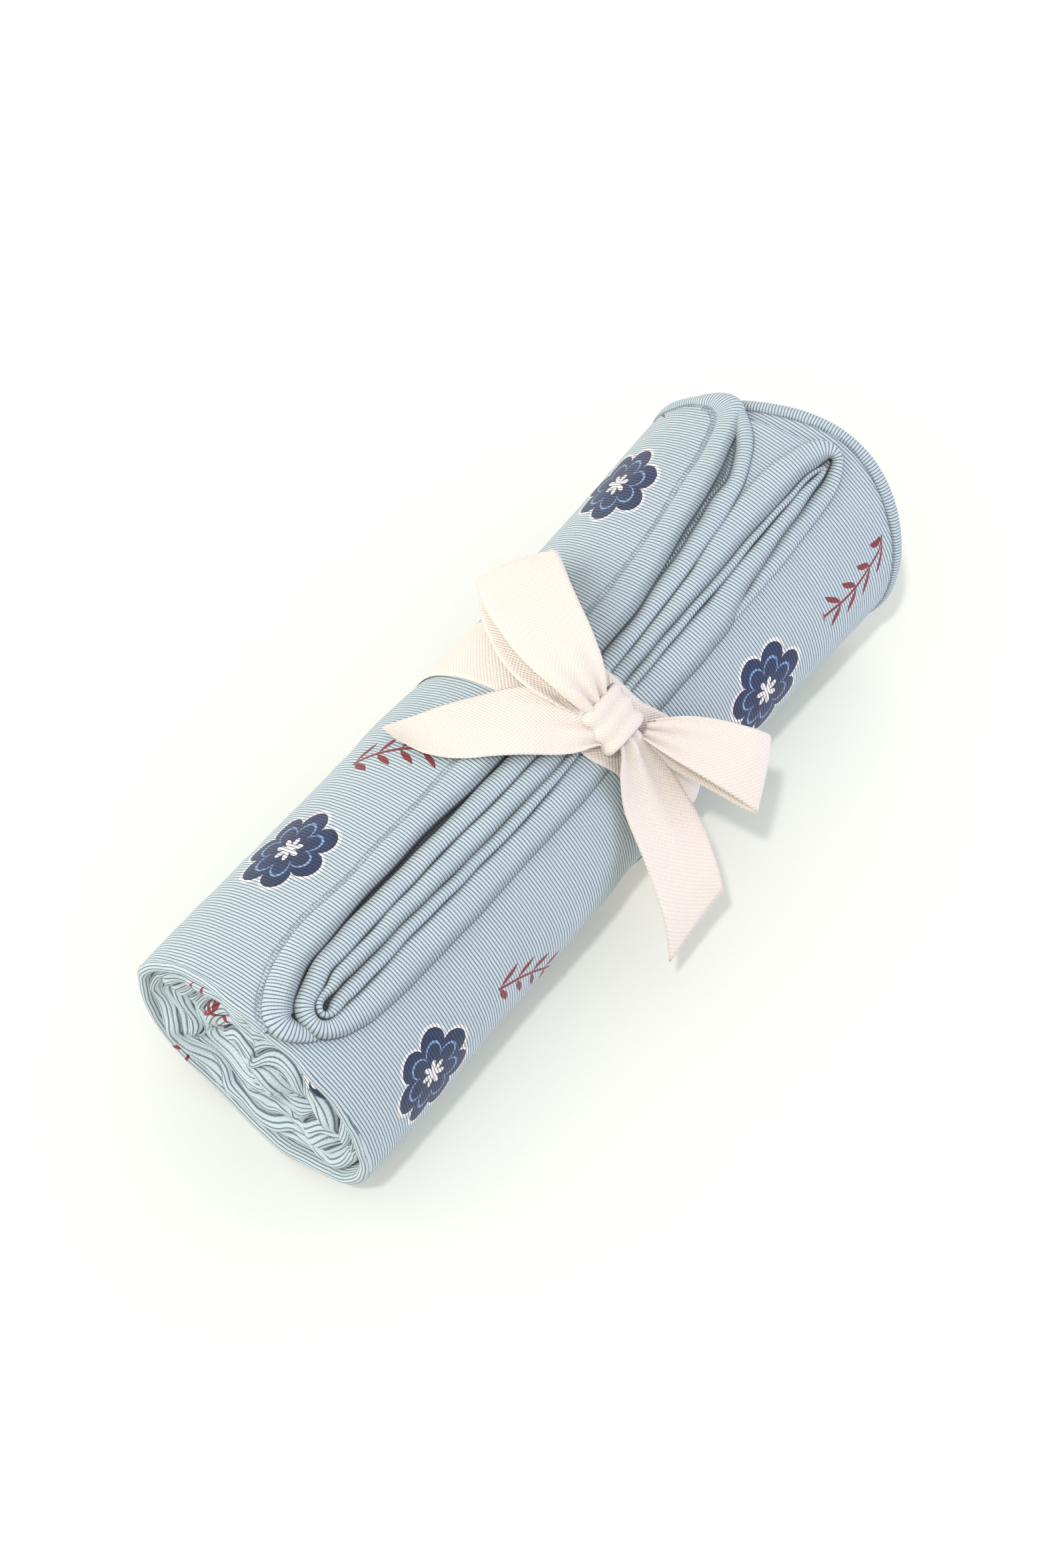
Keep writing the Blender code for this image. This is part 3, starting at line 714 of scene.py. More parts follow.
        across[1:] = np.cumsum(np.linalg.norm(np.diff(points, axis=0), axis=-1).mean(axis=1))[:, None]
        lead = len(depths) + len(nose_turn)
        across = across - across[lead, 0] + nose.mean()
        across[lead:] = x
        round_way = np.broadcast_to(turns[None, :] * 2.0 * math.pi * form.arc_radius, across.shape)
        hollow = np.zeros(across.shape)
        # painted shade on the lip's inner wall, darker the deeper in it lies
        hollow[: len(depths)] = smooth_step((depths - 2.0) / 9.0)[:, None]
        return Patch(points, np.stack([across, round_way], axis=-1), flip=True, hollow=hollow)

    # -- the hem, in one run through all six layers

    def hem_route(self) -> Array:
        """The hem's middle line, from the second layer's loose corner to its end under the roll.

        Returns:
            Rows of x, arc, half width, top and pillow share.
        """
        both = ALONG + ALONG_FAR
        second = [(201.2, -20.0, 1.9, 0.9, 0.0), (199.8, -16.0, 2.1, 1.5, 0.0), (197.3, -11.9, 2.2, 2.0, 0.0)]
        for x in (194.5, 191.0, 187.0, 181.0):
            second.append((x, float(loose_end("edge2", x)) - 2.3, 2.3, 2.25, 0.0))
        second += middle_rows("edge1", "edge2", both[::-1], 2.2)
        fifth = middle_rows("edge4", "edge5", both + (181.0, 186.0), 1.2)
        fourth = middle_rows("edge3", "edge4", (181.0,) + both[::-1], 1.45)
        third = middle_rows("edge2", "edge3", both[:-3], 1.8)
        sixth = middle_rows("edge5", "foot", (181.0, 174.0), 0.75)
        sixth += [(168.0, 21.2, 2.1, 0.65, 0.0), (161.5, 21.9, 1.6, 0.5, 0.0), (154.0, 22.2, 1.6, 0.1, 0.0)]
        sixth += [(x, 20.0, 1.8, -0.5, 0.0) for x in (140.0, 112.0, 80.0, 50.0, 28.0, 18.0)]
        first = middle_rows("seam", "top_edge", both, 2.5, 1.0)
        rows = second + list(self.NEAR_OUTER_FOLD) + fifth + list(self.FAR_INNER_FOLD) + fourth
        rows += list(self.NEAR_INNER_FOLD) + third + list(self.FAR_OUTER_FOLD) + sixth
        rows += list(self.NEAR_CORNER) + first + list(self.FAR_CORNER) + self.rim_rows()
        return np.array(rows)

    def rim_rows(self) -> list[tuple[float, ...]]:
        """The hem's route along the far rim, from the loose corner once round the roll.

        Returns:
            Rows of x, arc, half width, top and pillow share.
        """
        rows = []
        for angle in np.arange(*self.rim_angles):
            wound = (self.corner_angle - angle) / 360.0
            x = float(self.rim_x(angle, wound)) - self.rim_half
            top = self.form.turn_step * (0.5 - wound) + self.rim_lift
            arc = math.radians(angle - 90.0) * self.form.arc_radius
            rows.append((x, arc, self.rim_half, top, 1.0))
        return rows

    def hem(self) -> tuple[Patch, Array]:
        """The swept hem.

        Returns:
            The hem's closed tube, and its route's rows at the tube's rings.
        """
        form = self.form
        fine = catmull_rom(self.hem_route(), 12)
        length = path_lengths(np.stack([fine[:, 0], fine[:, 1]], axis=-1))
        even = np.arange(0.0, length[-1], self.hem_step)
        rows = np.stack([np.interp(even, length, fine[:, k]) for k in range(5)], axis=-1)
        x, arc, half, top, pillow = rows.T
        crumple = np.exp(-np.maximum(x - 12.0, 0.0) / 9.0)  # most at the folded end
        top = top + self.HEM_TOP_SWAY.over(even)
        top = top + self.crumple_height * crumple * self.HEM_CRUMPLE.over(even)
        half = half * (1.0 + self.HEM_WIDTH_SWAY.over(even))
        arc = arc + self.HEM_ROUTE_SWAY.over(even) * (1.0 - pillow)
        angle = form.angle_of(arc)
        centre = form.place(x, angle, form.base_radius(x, angle) + top - self.seat)
        along = unit(np.gradient(centre, axis=0))
        normal = form.outward(angle)
        across = unit(np.cross(along, normal))
        normal = unit(np.cross(across, along))
        sides = np.linspace(0.0, 2.0 * math.pi, self.hem_sides + 1)[:-1]
        cos, sin = np.cos(sides), np.sin(sides)
        thickness = self.hem_thickness
        shoulder = thickness * 0.5 + (self.hem_puff - thickness * 0.5) * pillow
        q = np.sign(cos) * np.abs(cos) ** self.hem_roundness
        upper = np.abs(sin) ** self.hem_roundness
        # painted shade down the hem's sides: less on a pillowed hem's seam side, where it lies open, and none
        # on the far rim hem's other side
        buried = 1.0 - smooth_step((x - 195.0) / 2.0) * (arc < 2.0)
        ring, hollow = [], []
        for k in range(len(sides)):
            deep = np.where(cos[k] < 0.0, shoulder, thickness * 0.5)
            if sin[k] >= 0.0:
                height = -deep * (1.0 - upper[k])
            else:
                height = -deep - (thickness - deep) * upper[k]
            ring.append(centre + across * (q[k] * half)[:, None] + normal * height[:, None])
            open_side = (1.0 - 0.55 * pillow * (cos[k] < 0.35)) * (1.0 if cos[k] < -0.3 else buried)
            # painted shade on the hem's side away from its seam
            lee = self.lee_shade * smooth_step((cos[k] - 0.1) / 0.8)
            hollow.append(np.maximum(smooth_step((-height - 0.5) / 1.3), lee) * open_side)
        points = np.stack(ring, axis=1)
        points[..., 2] = np.maximum(points[..., 2], FLOOR_GAP)
        around = path_lengths(np.stack([q * 3.0, sin * 1.5], axis=-1))
        run = np.broadcast_to(even[:, None], points.shape[:2])
        cloth = np.stack([run, np.broadcast_to(around[None, :], points.shape[:2])], axis=-1)
        patch = Patch(points, cloth, ring=True, flip=True, hollow=np.stack(hollow, axis=1))
        return patch, np.stack([x, arc, half, top, pillow], axis=-1)

    def layer_cloth(
        self,
        low: Callable,
        high: Callable,
        span: tuple[float, float],
        top: float,
        lean: float = 0.0,
        depth: float = 0.0,
    ) -> Patch:
        """The flat cloth of one layer behind its hem.

        Args:
            low: Arc of its hidden side at places along X.
            high: Arc of its side under the hem.
            span: Where it starts and ends along X.
            top: Its height over the middle of the outermost turn's step.
            lean: How far its far fold slants, in millimetres for each one of arc.
            depth: How much painted shade it gets all over, from 0 to 1.

        Returns:
            The open grid.
        """
        form = self.form
        x = np.linspace(span[0], span[1], 90)
        share = np.linspace(0.0, 1.0, 28)
        arc = low(x)[:, None] + (high(x) - low(x))[:, None] * share[None, :]
        place = np.broadcast_to(x[:, None], arc.shape)
        inside = np.clip((span[1] - place) / self.layer_nose, 0.0, 1.0)
        place = place + lean * arc * smooth_step((place - 180.0) / 20.0)
        drop = self.layer_drop * (1.0 - np.sqrt(1.0 - (1.0 - inside) ** 2))
        angle = form.angle_of(arc)
        soft = self.LAYER_SWAY.over(place, arc)
        radius = form.base_radius(place, angle) + top - self.seat - drop + soft
        points = form.place(place, angle, radius)
        # painted shade: the whole sheet is darkened by the same share
        return Patch(points, np.stack([place, arc], axis=-1), flip=True, hollow=np.full(arc.shape, depth))

    def layers(self) -> list[Patch]:
        """The cloth that shows between the hems: the bed and the second layer, both darkened by painted
        shade, and the third layer.

        Returns:
            An open grid for each.
        """
        third_side = ((140.0, 176.0, 186.0, 190.0, 195.0, 203.0), (7.6, 4.4, 3.9, 4.4, 5.9, 7.6))

        def line(name: str, shift: float) -> Callable:
            """A line of the loose end moved by some arc."""
            return lambda x: loose_end(name, x) + shift

        return [
            # the bed and the second layer are darkened all over by painted shade
            self.layer_cloth(line("seam", 3.0), line("foot", -2.5), (5.5, 199.0), -0.5, depth=0.85),
            self.layer_cloth(line("edge1", -7.0), line("edge2", -2.6), (120.0, 199.0), 0.95, depth=0.75),
            self.layer_cloth(
                line("edge2", -8.0), lambda x: np.interp(x, *third_side), (140.0, 201.4), 0.75, lean=0.24
            ),
        ]

    # -- stitches

    def beside_hem(
        self, rows: Array, inset: Union[Array, float], lift: Callable
    ) -> tuple[Array, Array]:
        """A line beside the hem on its seam side.

        Args:
            rows: The hem's route at the rings to follow.
            inset: How far outside the hem's seam edge the line lies, for all rings or for each.
            lift: The cloth's radius at places along X and round the roll.

        Returns:
            Points in the part's frame and the surface's normals there.
        """
        x, arc, half = rows[:, 0], rows[:, 1], rows[:, 2]
        along = unit(np.gradient(np.stack([x, arc], axis=-1), axis=0))
        x = x + along[:, 1] * (half + inset)
        angle = self.form.angle_of(arc - along[:, 0] * (half + inset))
        line = self.form.place(x, angle, lift(x, angle))
        line[:, 2] = np.maximum(line[:, 2], 0.2)
        return to_part(line), self.form.outward(angle)

    def skin_radius(self, x: Array, angle: Array) -> Array:
        """The outermost turn's radius beside the top hem or the rim, a hair above the cloth.

        Args:
            x: Places along the roll.
            angle: Angles round it.

        Returns:
            The distance from the axis at each place.
        """
        edge = np.minimum(self.form.angle_of(loose_end("top_edge", x)), 95.0)
        edge = np.where(x > 196.0, self.corner_angle, edge)
        return self.turn_radius(x, angle, (edge - angle) / 360.0) + 0.1

    def second_radius(self, x: Array, angle: Array) -> Array:
        """The second layer's radius beside its hem, in the wedge under the top one."""
        return self.form.base_radius(x, angle) + self.second_lift - self.seat

    def third_radius(self, x: Array, angle: Array) -> Array:
        """The third layer's radius beside its hem."""
        return self.form.base_radius(x, angle) + self.third_lift - self.seat

    def stitches(self, rows: Array) -> list[bpy.types.Object]:
        """The ladder of top stitches beside the loose hems, and the close stitches of the far rim.

        Args:
            rows: The hem's route at its tube's rings.

        Returns:
            A ridden piece for each row of stitches.
        """
        rings = np.arange(len(rows))
        x, arc, _, _, pillow = rows.T
        # the top hem starts at the folded end's corner and passes the loose corner into the far rim
        last_low = rings[(x < 5.0)].max()
        top_hem = rings[last_low - 5 :]
        corner = top_hem[(arc[top_hem] < -24.0)].min()
        loose = top_hem[top_hem <= corner]
        rim = top_hem[top_hem > corner - 3]
        far_third = (x > 176.0) & (x < 200.0) & (arc > 0.0) & (arc < 9.5)
        third = rings[(pillow > 0.95) & (rings < last_low) & far_third]
        second = rings[(rings < rings[x < 100.0].min()) & (x > 138.0) & (x < 190.0)]
        dash = StitchRun(pitch=1.1, length=0.85, width=0.3, slant=0.25)
        bar = StitchRun(pitch=0.9, length=1.15, width=0.22, slant=1.45)
        chain = StitchRun(pitch=1.0, length=1.25, width=0.34, slant=0.8)
        close = StitchRun(pitch=0.85, length=0.9, width=0.26, slant=1.35)
        beyond = -2.0 * rows[second, 2] - 0.8  # on the hem's other side, which the wedge shows
        specs = (
            ("seam_a", loose, 0.1, dash, self.skin_radius),
            ("seam_b", loose, 1.35, dash, self.skin_radius),
            ("seam_bars", loose, 0.7, bar, self.skin_radius),
            ("second_seam", second, beyond, chain, self.second_radius),
            ("third_seam", third, 0.1, dash, self.third_radius),
            ("rim", rim, -0.25, close, self.skin_radius),
        )
        pieces = []
        for name, pick, inset, run, lift in specs:
            points, normals = self.beside_hem(rows[pick], inset, lift)
            thing = run.build(f"stitches_{name}", points, normals, self.thread)
            pieces.append(place_piece(thing, "blanket"))
        return pieces

    def build(self) -> list[bpy.types.Object]:
        """Makes every piece of the blanket and rides it.

        Returns:
            The blanket's pieces.
        """
        hem, rows = self.hem()
        near = EndTurns(self.form, RollEnd.FOLDED, turn_height=5.5, last_turn=6.3)
        far = EndTurns(self.form, RollEnd.HEMMED)
        specs = (
            ("outer_turn", [self.outer_turn()], self.jersey),
            ("loose_end", [hem, *self.layers()], self.plain_jersey),
            ("near_turns", near.patches(), self.jersey),
            ("far_turns", far.patches(), self.plain_jersey),
        )
        pieces = []
        for name, patches, finish in specs:
            thing = mesh_object(f"blanket_{name}", patches, finish)
            pieces.append(place_piece(thing, "blanket"))
        pieces += self.stitches(rows)
        return pieces


# ---------------------------------------------------------------- nodes


Feed = Union[bpy.types.Node, bpy.types.NodeSocket, bpy.types.ID, Sequence[float], float]
COLOURS = {"data_type": "RGBA"}  # a Mix node of colours


def feed(node: bpy.types.Node, *feeds: Feed, **named: Feed) -> None:
    """Gives a node's inputs their values and links.

    Args:
        node: The node.
        feeds: For each input that is in use, in order: a value, a socket to link, or a node whose
            first output is linked.
        named: The same for inputs by name, with _ for a space.
    """
    used = [socket for socket in node.inputs if socket.enabled]
    pairs = list(zip(used, feeds))
    pairs += [(node.inputs[name.replace("_", " ")], value) for name, value in named.items()]
    for socket, value in pairs:
        if isinstance(value, bpy.types.Node):
            value = next(out for out in value.outputs if out.enabled)
        if isinstance(value, bpy.types.NodeSocket):
            node.id_data.links.new(value, socket)
        else:
            socket.default_value = value


def add_node(
    tree: bpy.types.NodeTree, kind: str, settings: Union[dict, str, None] = None, *feeds: Feed, **named: Feed
) -> bpy.types.Node:
    """Adds a node to a tree, with its settings and links.

    Args:
        tree: The node tree.
        kind: The node's type name.
        settings: Attributes to set on it, or just the name of its operation.
        feeds: What its inputs get, as feed takes it.
        named: The same by name.

    Returns:
        The new node.
    """
    node = tree.nodes.new(kind)
    for key, value in ({"operation": settings} if isinstance(settings, str) else settings or {}).items():
        setattr(node, key, value)
    feed(node, *feeds, **named)
    return node


@dataclass(frozen=True)
class StitchRun:
    """A row of stitches along a line, made by Geometry Nodes."""

    pitch: float
    length: float
    width: float
    slant: float  # turn of each stitch out of the line, in radians
    wander: float = 0.12
    seed: int = 5

    def tree(self, material: bpy.types.Material) -> bpy.types.NodeTree:
        """The node tree, with its sizes as named inputs.

        Args:
            material: The thread.

        Returns:
            A tree that turns a line of edges into stitches.
        """
        tree = bpy.data.node_groups.new("stitch run", "GeometryNodeTree")
        sizes = ("Pitch", "Stitch length", "Thread width", "Slant", "Wander")
        sockets = [("Geometry", "OUTPUT", "Geometry"), ("Geometry", "INPUT", "Geometry")]
        sockets += [(name, "INPUT", "Float") for name in sizes] + [("Seed", "INPUT", "Int")]
        for name, way, kind in sockets:
            tree.interface.new_socket(name, in_out=way, socket_type="NodeSocket" + kind)
        add = partial(add_node, tree)
        come = add("NodeGroupInput").outputs
        line = add("GeometryNodeMeshToCurve", Mesh=come["Geometry"])
        even = add("GeometryNodeResampleCurve", {"mode": "LENGTH"}, Curve=line, Length=come["Pitch"])
        bead = add("GeometryNodeMeshUVSphere", Segments=6, Rings=4, Radius=0.5)
        width = come["Thread width"]
        size = add("ShaderNodeCombineXYZ", X=come["Stitch length"], Y=width, Z=width)
        shaped = add("GeometryNodeTransform", Geometry=bead, Scale=size)
        tangent = add("GeometryNodeInputTangent")
        normal = add("GeometryNodeInputNamedAttribute", {"data_type": "FLOAT_VECTOR"}, Name="surface")
        lie = add("FunctionNodeAlignRotationToVector", {"axis": "X"}, Vector=tangent)
        stand = add(
            "FunctionNodeAlignRotationToVector", {"axis": "Z", "pivot_axis": "X"}, Rotation=lie, Vector=normal
        )
        least = add("ShaderNodeMath", "MULTIPLY", come["Wander"], -1.0)
        drift = {"data_type": "FLOAT"}
        chance = add("FunctionNodeRandomValue", drift, least, come["Wander"], Seed=come["Seed"])
        turn = add("ShaderNodeMath", "ADD", come["Slant"], chance)
        spin = add("FunctionNodeEulerToRotation", Euler=add("ShaderNodeCombineXYZ", Z=turn))
        turned = add("FunctionNodeRotateRotation", {"rotation_space": "LOCAL"}, stand, spin)
        many = add("GeometryNodeInstanceOnPoints", Points=even, Instance=shaped, Rotation=turned)
        real = add("GeometryNodeRealizeInstances", Geometry=many)
        smooth = add("GeometryNodeSetShadeSmooth", Geometry=real)
        dressed = add("GeometryNodeSetMaterial", Geometry=smooth, Material=material)
        add("NodeGroupOutput", Geometry=dressed)
        return tree

    def build(
        self, name: str, points: Array, normals: Array, material: bpy.types.Material
    ) -> bpy.types.Object:
        """Makes the stitches along a line.

        Args:
            name: The new piece's name.
            points: The line, in metres in the part's frame.
            normals: The surface's normals along it.
            material: The thread.

        Returns:
            A plain mesh object of the stitches.
        """
        guide = bpy.data.meshes.new(name + "_line")
        guide.from_pydata(points.tolist(), [(i, i + 1) for i in range(len(points) - 1)], [])
        attribute = guide.attributes.new("surface", "FLOAT_VECTOR", "POINT")
        attribute.data.foreach_set("vector", normals.astype(np.float32).ravel())
        carrier = add_object(name + "_line", guide)
        values = {
            "Pitch": self.pitch * MM,
            "Stitch length": self.length * MM,
            "Thread width": self.width * MM,
            "Slant": self.slant,
            "Wander": self.wander,
            "Seed": self.seed,
        }
        return realize(name, carrier, self.tree(material), values)


def realize(name: str, carrier: bpy.types.Object, tree: bpy.types.NodeTree, values: dict) -> bpy.types.Object:
    """Evaluates a node tree on a carrier and keeps the result as a plain mesh.

    Args:
        name: The new object's name.
        carrier: The object that carries the tree's input; it is removed.
        tree: The node tree.
        values: The tree's inputs by name.

    Returns:
        The new object.
    """
    modifier = carrier.modifiers.new("nodes", "NODES")
    modifier.node_group = tree
    for item in tree.interface.items_tree:
        if item.item_type == "SOCKET" and item.in_out == "INPUT" and item.name in values:
            modifier[item.identifier] = values[item.name]
    bpy.context.view_layer.update()
    graph = bpy.context.evaluated_depsgraph_get()
    mesh = bpy.data.meshes.new_from_object(carrier.evaluated_get(graph), depsgraph=graph)
    carrier.modifiers.remove(modifier)
    mesh.name = name
    bpy.data.objects.remove(carrier, do_unlink=True)
    return add_object(name, mesh)


# ---------------------------------------------------------------- the ribbon


@dataclass
class SpannedRoll:
    """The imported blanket's sections with their hollows spanned, as a taut ribbon spans them."""

    form: RollForm
    solid: bpy.types.Object
    first: float = 70.0
    last: float = 150.0
    step: float = 2.0
    around_step: float = 2.0  # degrees
    widest_gap: int = 22  # no hollow is spanned over more steps round the roll than this
    reach: float = 90.0  # rays start this far from the axis
    radii: Array = field(init=False)

    def __post_init__(self) -> None:
        """Measures every section once."""
        mesh = self.solid.data
        tree = BVHTree.FromPolygons([v.co for v in mesh.vertices], [p.vertices for p in mesh.polygons])
        places = np.arange(self.first, self.last + 0.1, self.step)
        self.radii = np.array([self.section(tree, x) for x in places])

    def section(self, tree: BVHTree, x: float) -> Array:
        """The spanned radius at each angle of one section.

        Args:
            tree: The solid, for ray casts.
            x: The section's place along the roll.

        Returns:
            A radius for each step round the roll.
        """
        angles = np.arange(0.0, 360.0, self.around_step)
        turn = np.radians(angles)
        centre = np.array([x, self.form.axis_y, self.form.half_height - self.form.flat_depth])
        ways = np.stack([np.cos(turn), np.sin(turn)], axis=-1)
        found = []
        for way in ways:
            point = centre + np.array([0.0, way[0], way[1]]) * self.reach
            hit = tree.ray_cast(Vector(to_part(point)), Vector(centre - point).normalized())
            found.append(self.reach - hit[3] / MM)
        spanned = np.array(found)
        flat = ways * spanned[:, None]
        count = len(angles)
        for i in range(count):
            for gap in range(2, self.widest_gap):
                a, b = flat[i], flat[(i + gap) % count]
                side = b - a
                for k in range(1, gap):
                    j = (i + k) % count
                    way = ways[j]
                    cross = way[0] * side[1] - way[1] * side[0]
                    if abs(cross) > 1e-9:
                        spanned[j] = max(spanned[j], (a[0] * side[1] - a[1] * side[0]) / cross)
        return spanned

    def radius(self, x: Array, angle: Array) -> Array:
        """The spanned radius, read between the measured places.

        Args:
            x: Places along the roll.
            angle: Angles round it.

        Returns:
            The distance from the axis at each place.
        """
        row = np.clip((np.asarray(x, float) - self.first) / self.step, 0.0, len(self.radii) - 1.001)
        column = (np.asarray(angle, float) % 360.0) / self.around_step
        row, column = np.broadcast_arrays(row, column)
        i, j = np.floor(row).astype(int), np.floor(column).astype(int)
        s, t = row - i, column - j
        count = self.radii.shape[1]
        j, k = j % count, (j + 1) % count
        low = self.radii[i, j] * (1 - t) + self.radii[i, k] * t
        high = self.radii[i + 1, j] * (1 - t) + self.radii[i + 1, k] * t
        return low * (1 - s) + high * s


class Cut(Enum):
    """How a stretch of ribbon ends."""

    HIDDEN = "inside the knot"
    SLANTED = "cut on the slant"


@dataclass(frozen=True)
class Stretch:
    """One stretch of ribbon: rows of x, angle and lift at its two edges, from the knot out."""

    name: str
    rows: tuple[tuple[float, ...], ...]
    pleats: float  # height of the pleats where it leaves the knot
    seed: int
    fold: float = 0.0  # height of a soft fold along its middle, near the knot
    end: Cut = Cut.HIDDEN


@dataclass
class RibbonBow:
    """One length of cotton tape: a band round the roll, a knot, two loops and two cut ends."""

    form: RollForm
    roll: SpannedRoll
    tape: bpy.types.Material
    frayed: bpy.types.Material
    width: float = 20.0
    thickness: float = 0.42
    selvedge: float = 0.62  # thickness of its woven edges
    columns: int = 21
    band_lift: float = 0.02
    band_steps: int = 240
    band_slip: float = 4.2  # how far the band is drawn aside under the tail that hangs down
    knot_x: float = 111.5
    knot_angle: float = 116.5
    knot_lift: float = 3.6
    knot_half: tuple[float, float, float] = (6.1, 6.2, 3.2)  # along the roll, round it and outwards
    knot_squareness: float = 0.72  # 1 is an oval section, less is squarer
    pleat_count: float = 2.6  # pleats across the tape at the knot
    pleat_reach: float = 13.0  # they fade over this distance from it
    softness: float = 0.35  # height of the tape's soft waves away from the knot
    soft_wavelength: float = 24.0
    fold_place: float = 0.52  # where a soft fold lies across the tape, from 0 to 1
    fold_half: float = 0.13
    fold_reach: float = 30.0
    # Where the band starts to be drawn aside and where it comes back: an angle, and over how many more.
    slip_start: tuple[float, float] = (118.0, 22.0)
    slip_end: tuple[float, float] = (190.0, 50.0)

    BAND_SWAY = Sway(0.12, 12.0, 65)
    # The turns of tape round the knot: span, swell, tilt and seed, as wrap takes them.
    WRAPS = (((-5.6, 5.8), 0.2, 1.4, 66), ((4.4, 8.4), -1.1, 1.2, 67))

    LEFT_TAIL = Stretch(
        "left_tail",
        (
            (105.5, 121.5, 3.8, 111.0, 117.5, 4.4), (104.0, 119.0, 4.2, 110.6, 112.0, 4.4),
            (98.0, 114.0, 3.6, 109.0, 99.0, 3.8), (91.5, 104.5, 2.8, 103.5, 82.0, 3.0),
            (81.5, 87.0, 1.3, 94.0, 66.0, 1.5), (77.0, 71.0, 1.2, 85.5, 53.0, 1.4),
            (76.8, 57.0, 1.3, 79.8, 42.5, 1.5),
        ),
        pleats=0.75,
        end=Cut.SLANTED,
        seed=61,
    )
    DOWN_TAIL = Stretch(
        "down_tail",
        (
            (108.3, 121.0, 4.2, 113.6, 121.5, 4.4), (107.0, 126.0, 5.0, 114.2, 126.0, 5.2),
            (103.0, 137.0, 3.0, 116.0, 139.0, 3.4), (99.5, 152.0, 2.8, 116.5, 154.0, 3.6),
            (95.0, 171.0, 9.0, 114.5, 169.5, 10.0), (88.0, 192.0, 21.0, 108.6, 184.5, 20.6),
        ),
        pleats=0.55,
        fold=1.5,
        end=Cut.SLANTED,
        seed=62,
    )
    LEFT_LOOP = Stretch(
        "left_loop",
        (
            (108.0, 114.0, 5.0, 112.5, 110.0, 5.2), (105.5, 96.0, 8.2, 117.5, 103.0, 8.4),
            (107.5, 78.0, 9.8, 122.5, 92.0, 10.6), (114.0, 58.0, 10.2, 129.0, 78.0, 10.8),
            (122.0, 40.5, 9.4, 135.5, 65.5, 9.8), (124.2, 34.0, 7.4, 137.9, 59.0, 8.0),
            (120.3, 38.0, 5.0, 134.6, 62.5, 5.8), (112.0, 55.0, 4.6, 126.8, 74.5, 5.2),
            (105.0, 76.0, 4.4, 120.0, 90.0, 5.0), (104.0, 97.0, 3.8, 115.5, 103.0, 4.2),
            (108.0, 114.0, 3.4, 112.5, 110.0, 3.4),
        ),
        pleats=0.8,
        seed=63,
    )
    RIGHT_LOOP = Stretch(
        "right_loop",
        (
            (113.5, 129.0, 5.0, 117.5, 126.0, 5.4), (115.5, 141.0, 8.8, 125.0, 134.0, 9.0),
            (118.5, 153.0, 13.4, 131.0, 143.0, 12.4), (122.0, 164.0, 18.6, 135.5, 151.0, 15.2),
            (123.5, 168.5, 19.6, 137.0, 154.5, 15.4), (122.5, 168.5, 15.4, 136.5, 154.5, 12.0),
            (119.5, 160.0, 8.4, 132.0, 148.5, 7.0), (116.0, 147.0, 3.8, 125.5, 139.0, 4.2),
            (114.0, 130.0, 3.4, 117.5, 128.0, 3.6),
        ),
        pleats=0.7,
        seed=64,
    )

    def strip(self, grid: Array, closed: bool = False) -> Patch:
        """A closed strip of tape whose middle surface is a grid of points.

        Args:
            grid: Rows along the tape and columns across it.
            closed: Whether the last row joins the first.

        Returns:
            A tube of points round the tape's flat section, with its edges a little thicker.
        """
        if closed:
            along = np.roll(grid, -1, axis=0) - np.roll(grid, 1, axis=0)
        else:
            along = np.gradient(grid, axis=0)
        normal = unit(np.cross(along, np.gradient(grid, axis=1)))
        share = np.linspace(-1.0, 1.0, grid.shape[1])
        out = np.abs(share)  # the selvedge starts 7% in from each edge, and the edge itself is round
        thick = self.thickness + (self.selvedge - self.thickness) * smooth_step((out - 0.86) / 0.08)
        rounding = 1.0 - np.clip((out - 0.97) / 0.03, 0.0, 1.0) ** 2
        thick = thick * np.sqrt(np.clip(rounding, 0.04, 1.0))
        upper = grid + normal * (thick / 2.0)[None, :, None]
        lower = grid - normal * (thick / 2.0)[None, :, None]
        ring = np.concatenate([upper, lower[:, ::-1]], axis=1)
        middle = grid[:, grid.shape[1] // 2]
        length = path_lengths(middle)
        over = share * self.width / 2.0
        across = np.concatenate([over, over[::-1]])
        cloth = np.stack(np.broadcast_arrays(across[None, :], length[:, None]), axis=-1)
        if closed:
            ring = np.concatenate([ring, ring[:1]], axis=0)
            step = np.linalg.norm(middle[0] - middle[-1])
            cloth = np.concatenate([cloth, cloth[:1] + np.array([0.0, length[-1] + step])], axis=0)
        else:
            first, last = (np.concatenate([grid[row], grid[row][::-1]])[None] for row in (0, -1))
            ring = np.concatenate([first, ring, last], axis=0)
            cloth = np.concatenate([cloth[:1], cloth, cloth[-1:]], axis=0)
        return Patch(ring, cloth, ring=True)

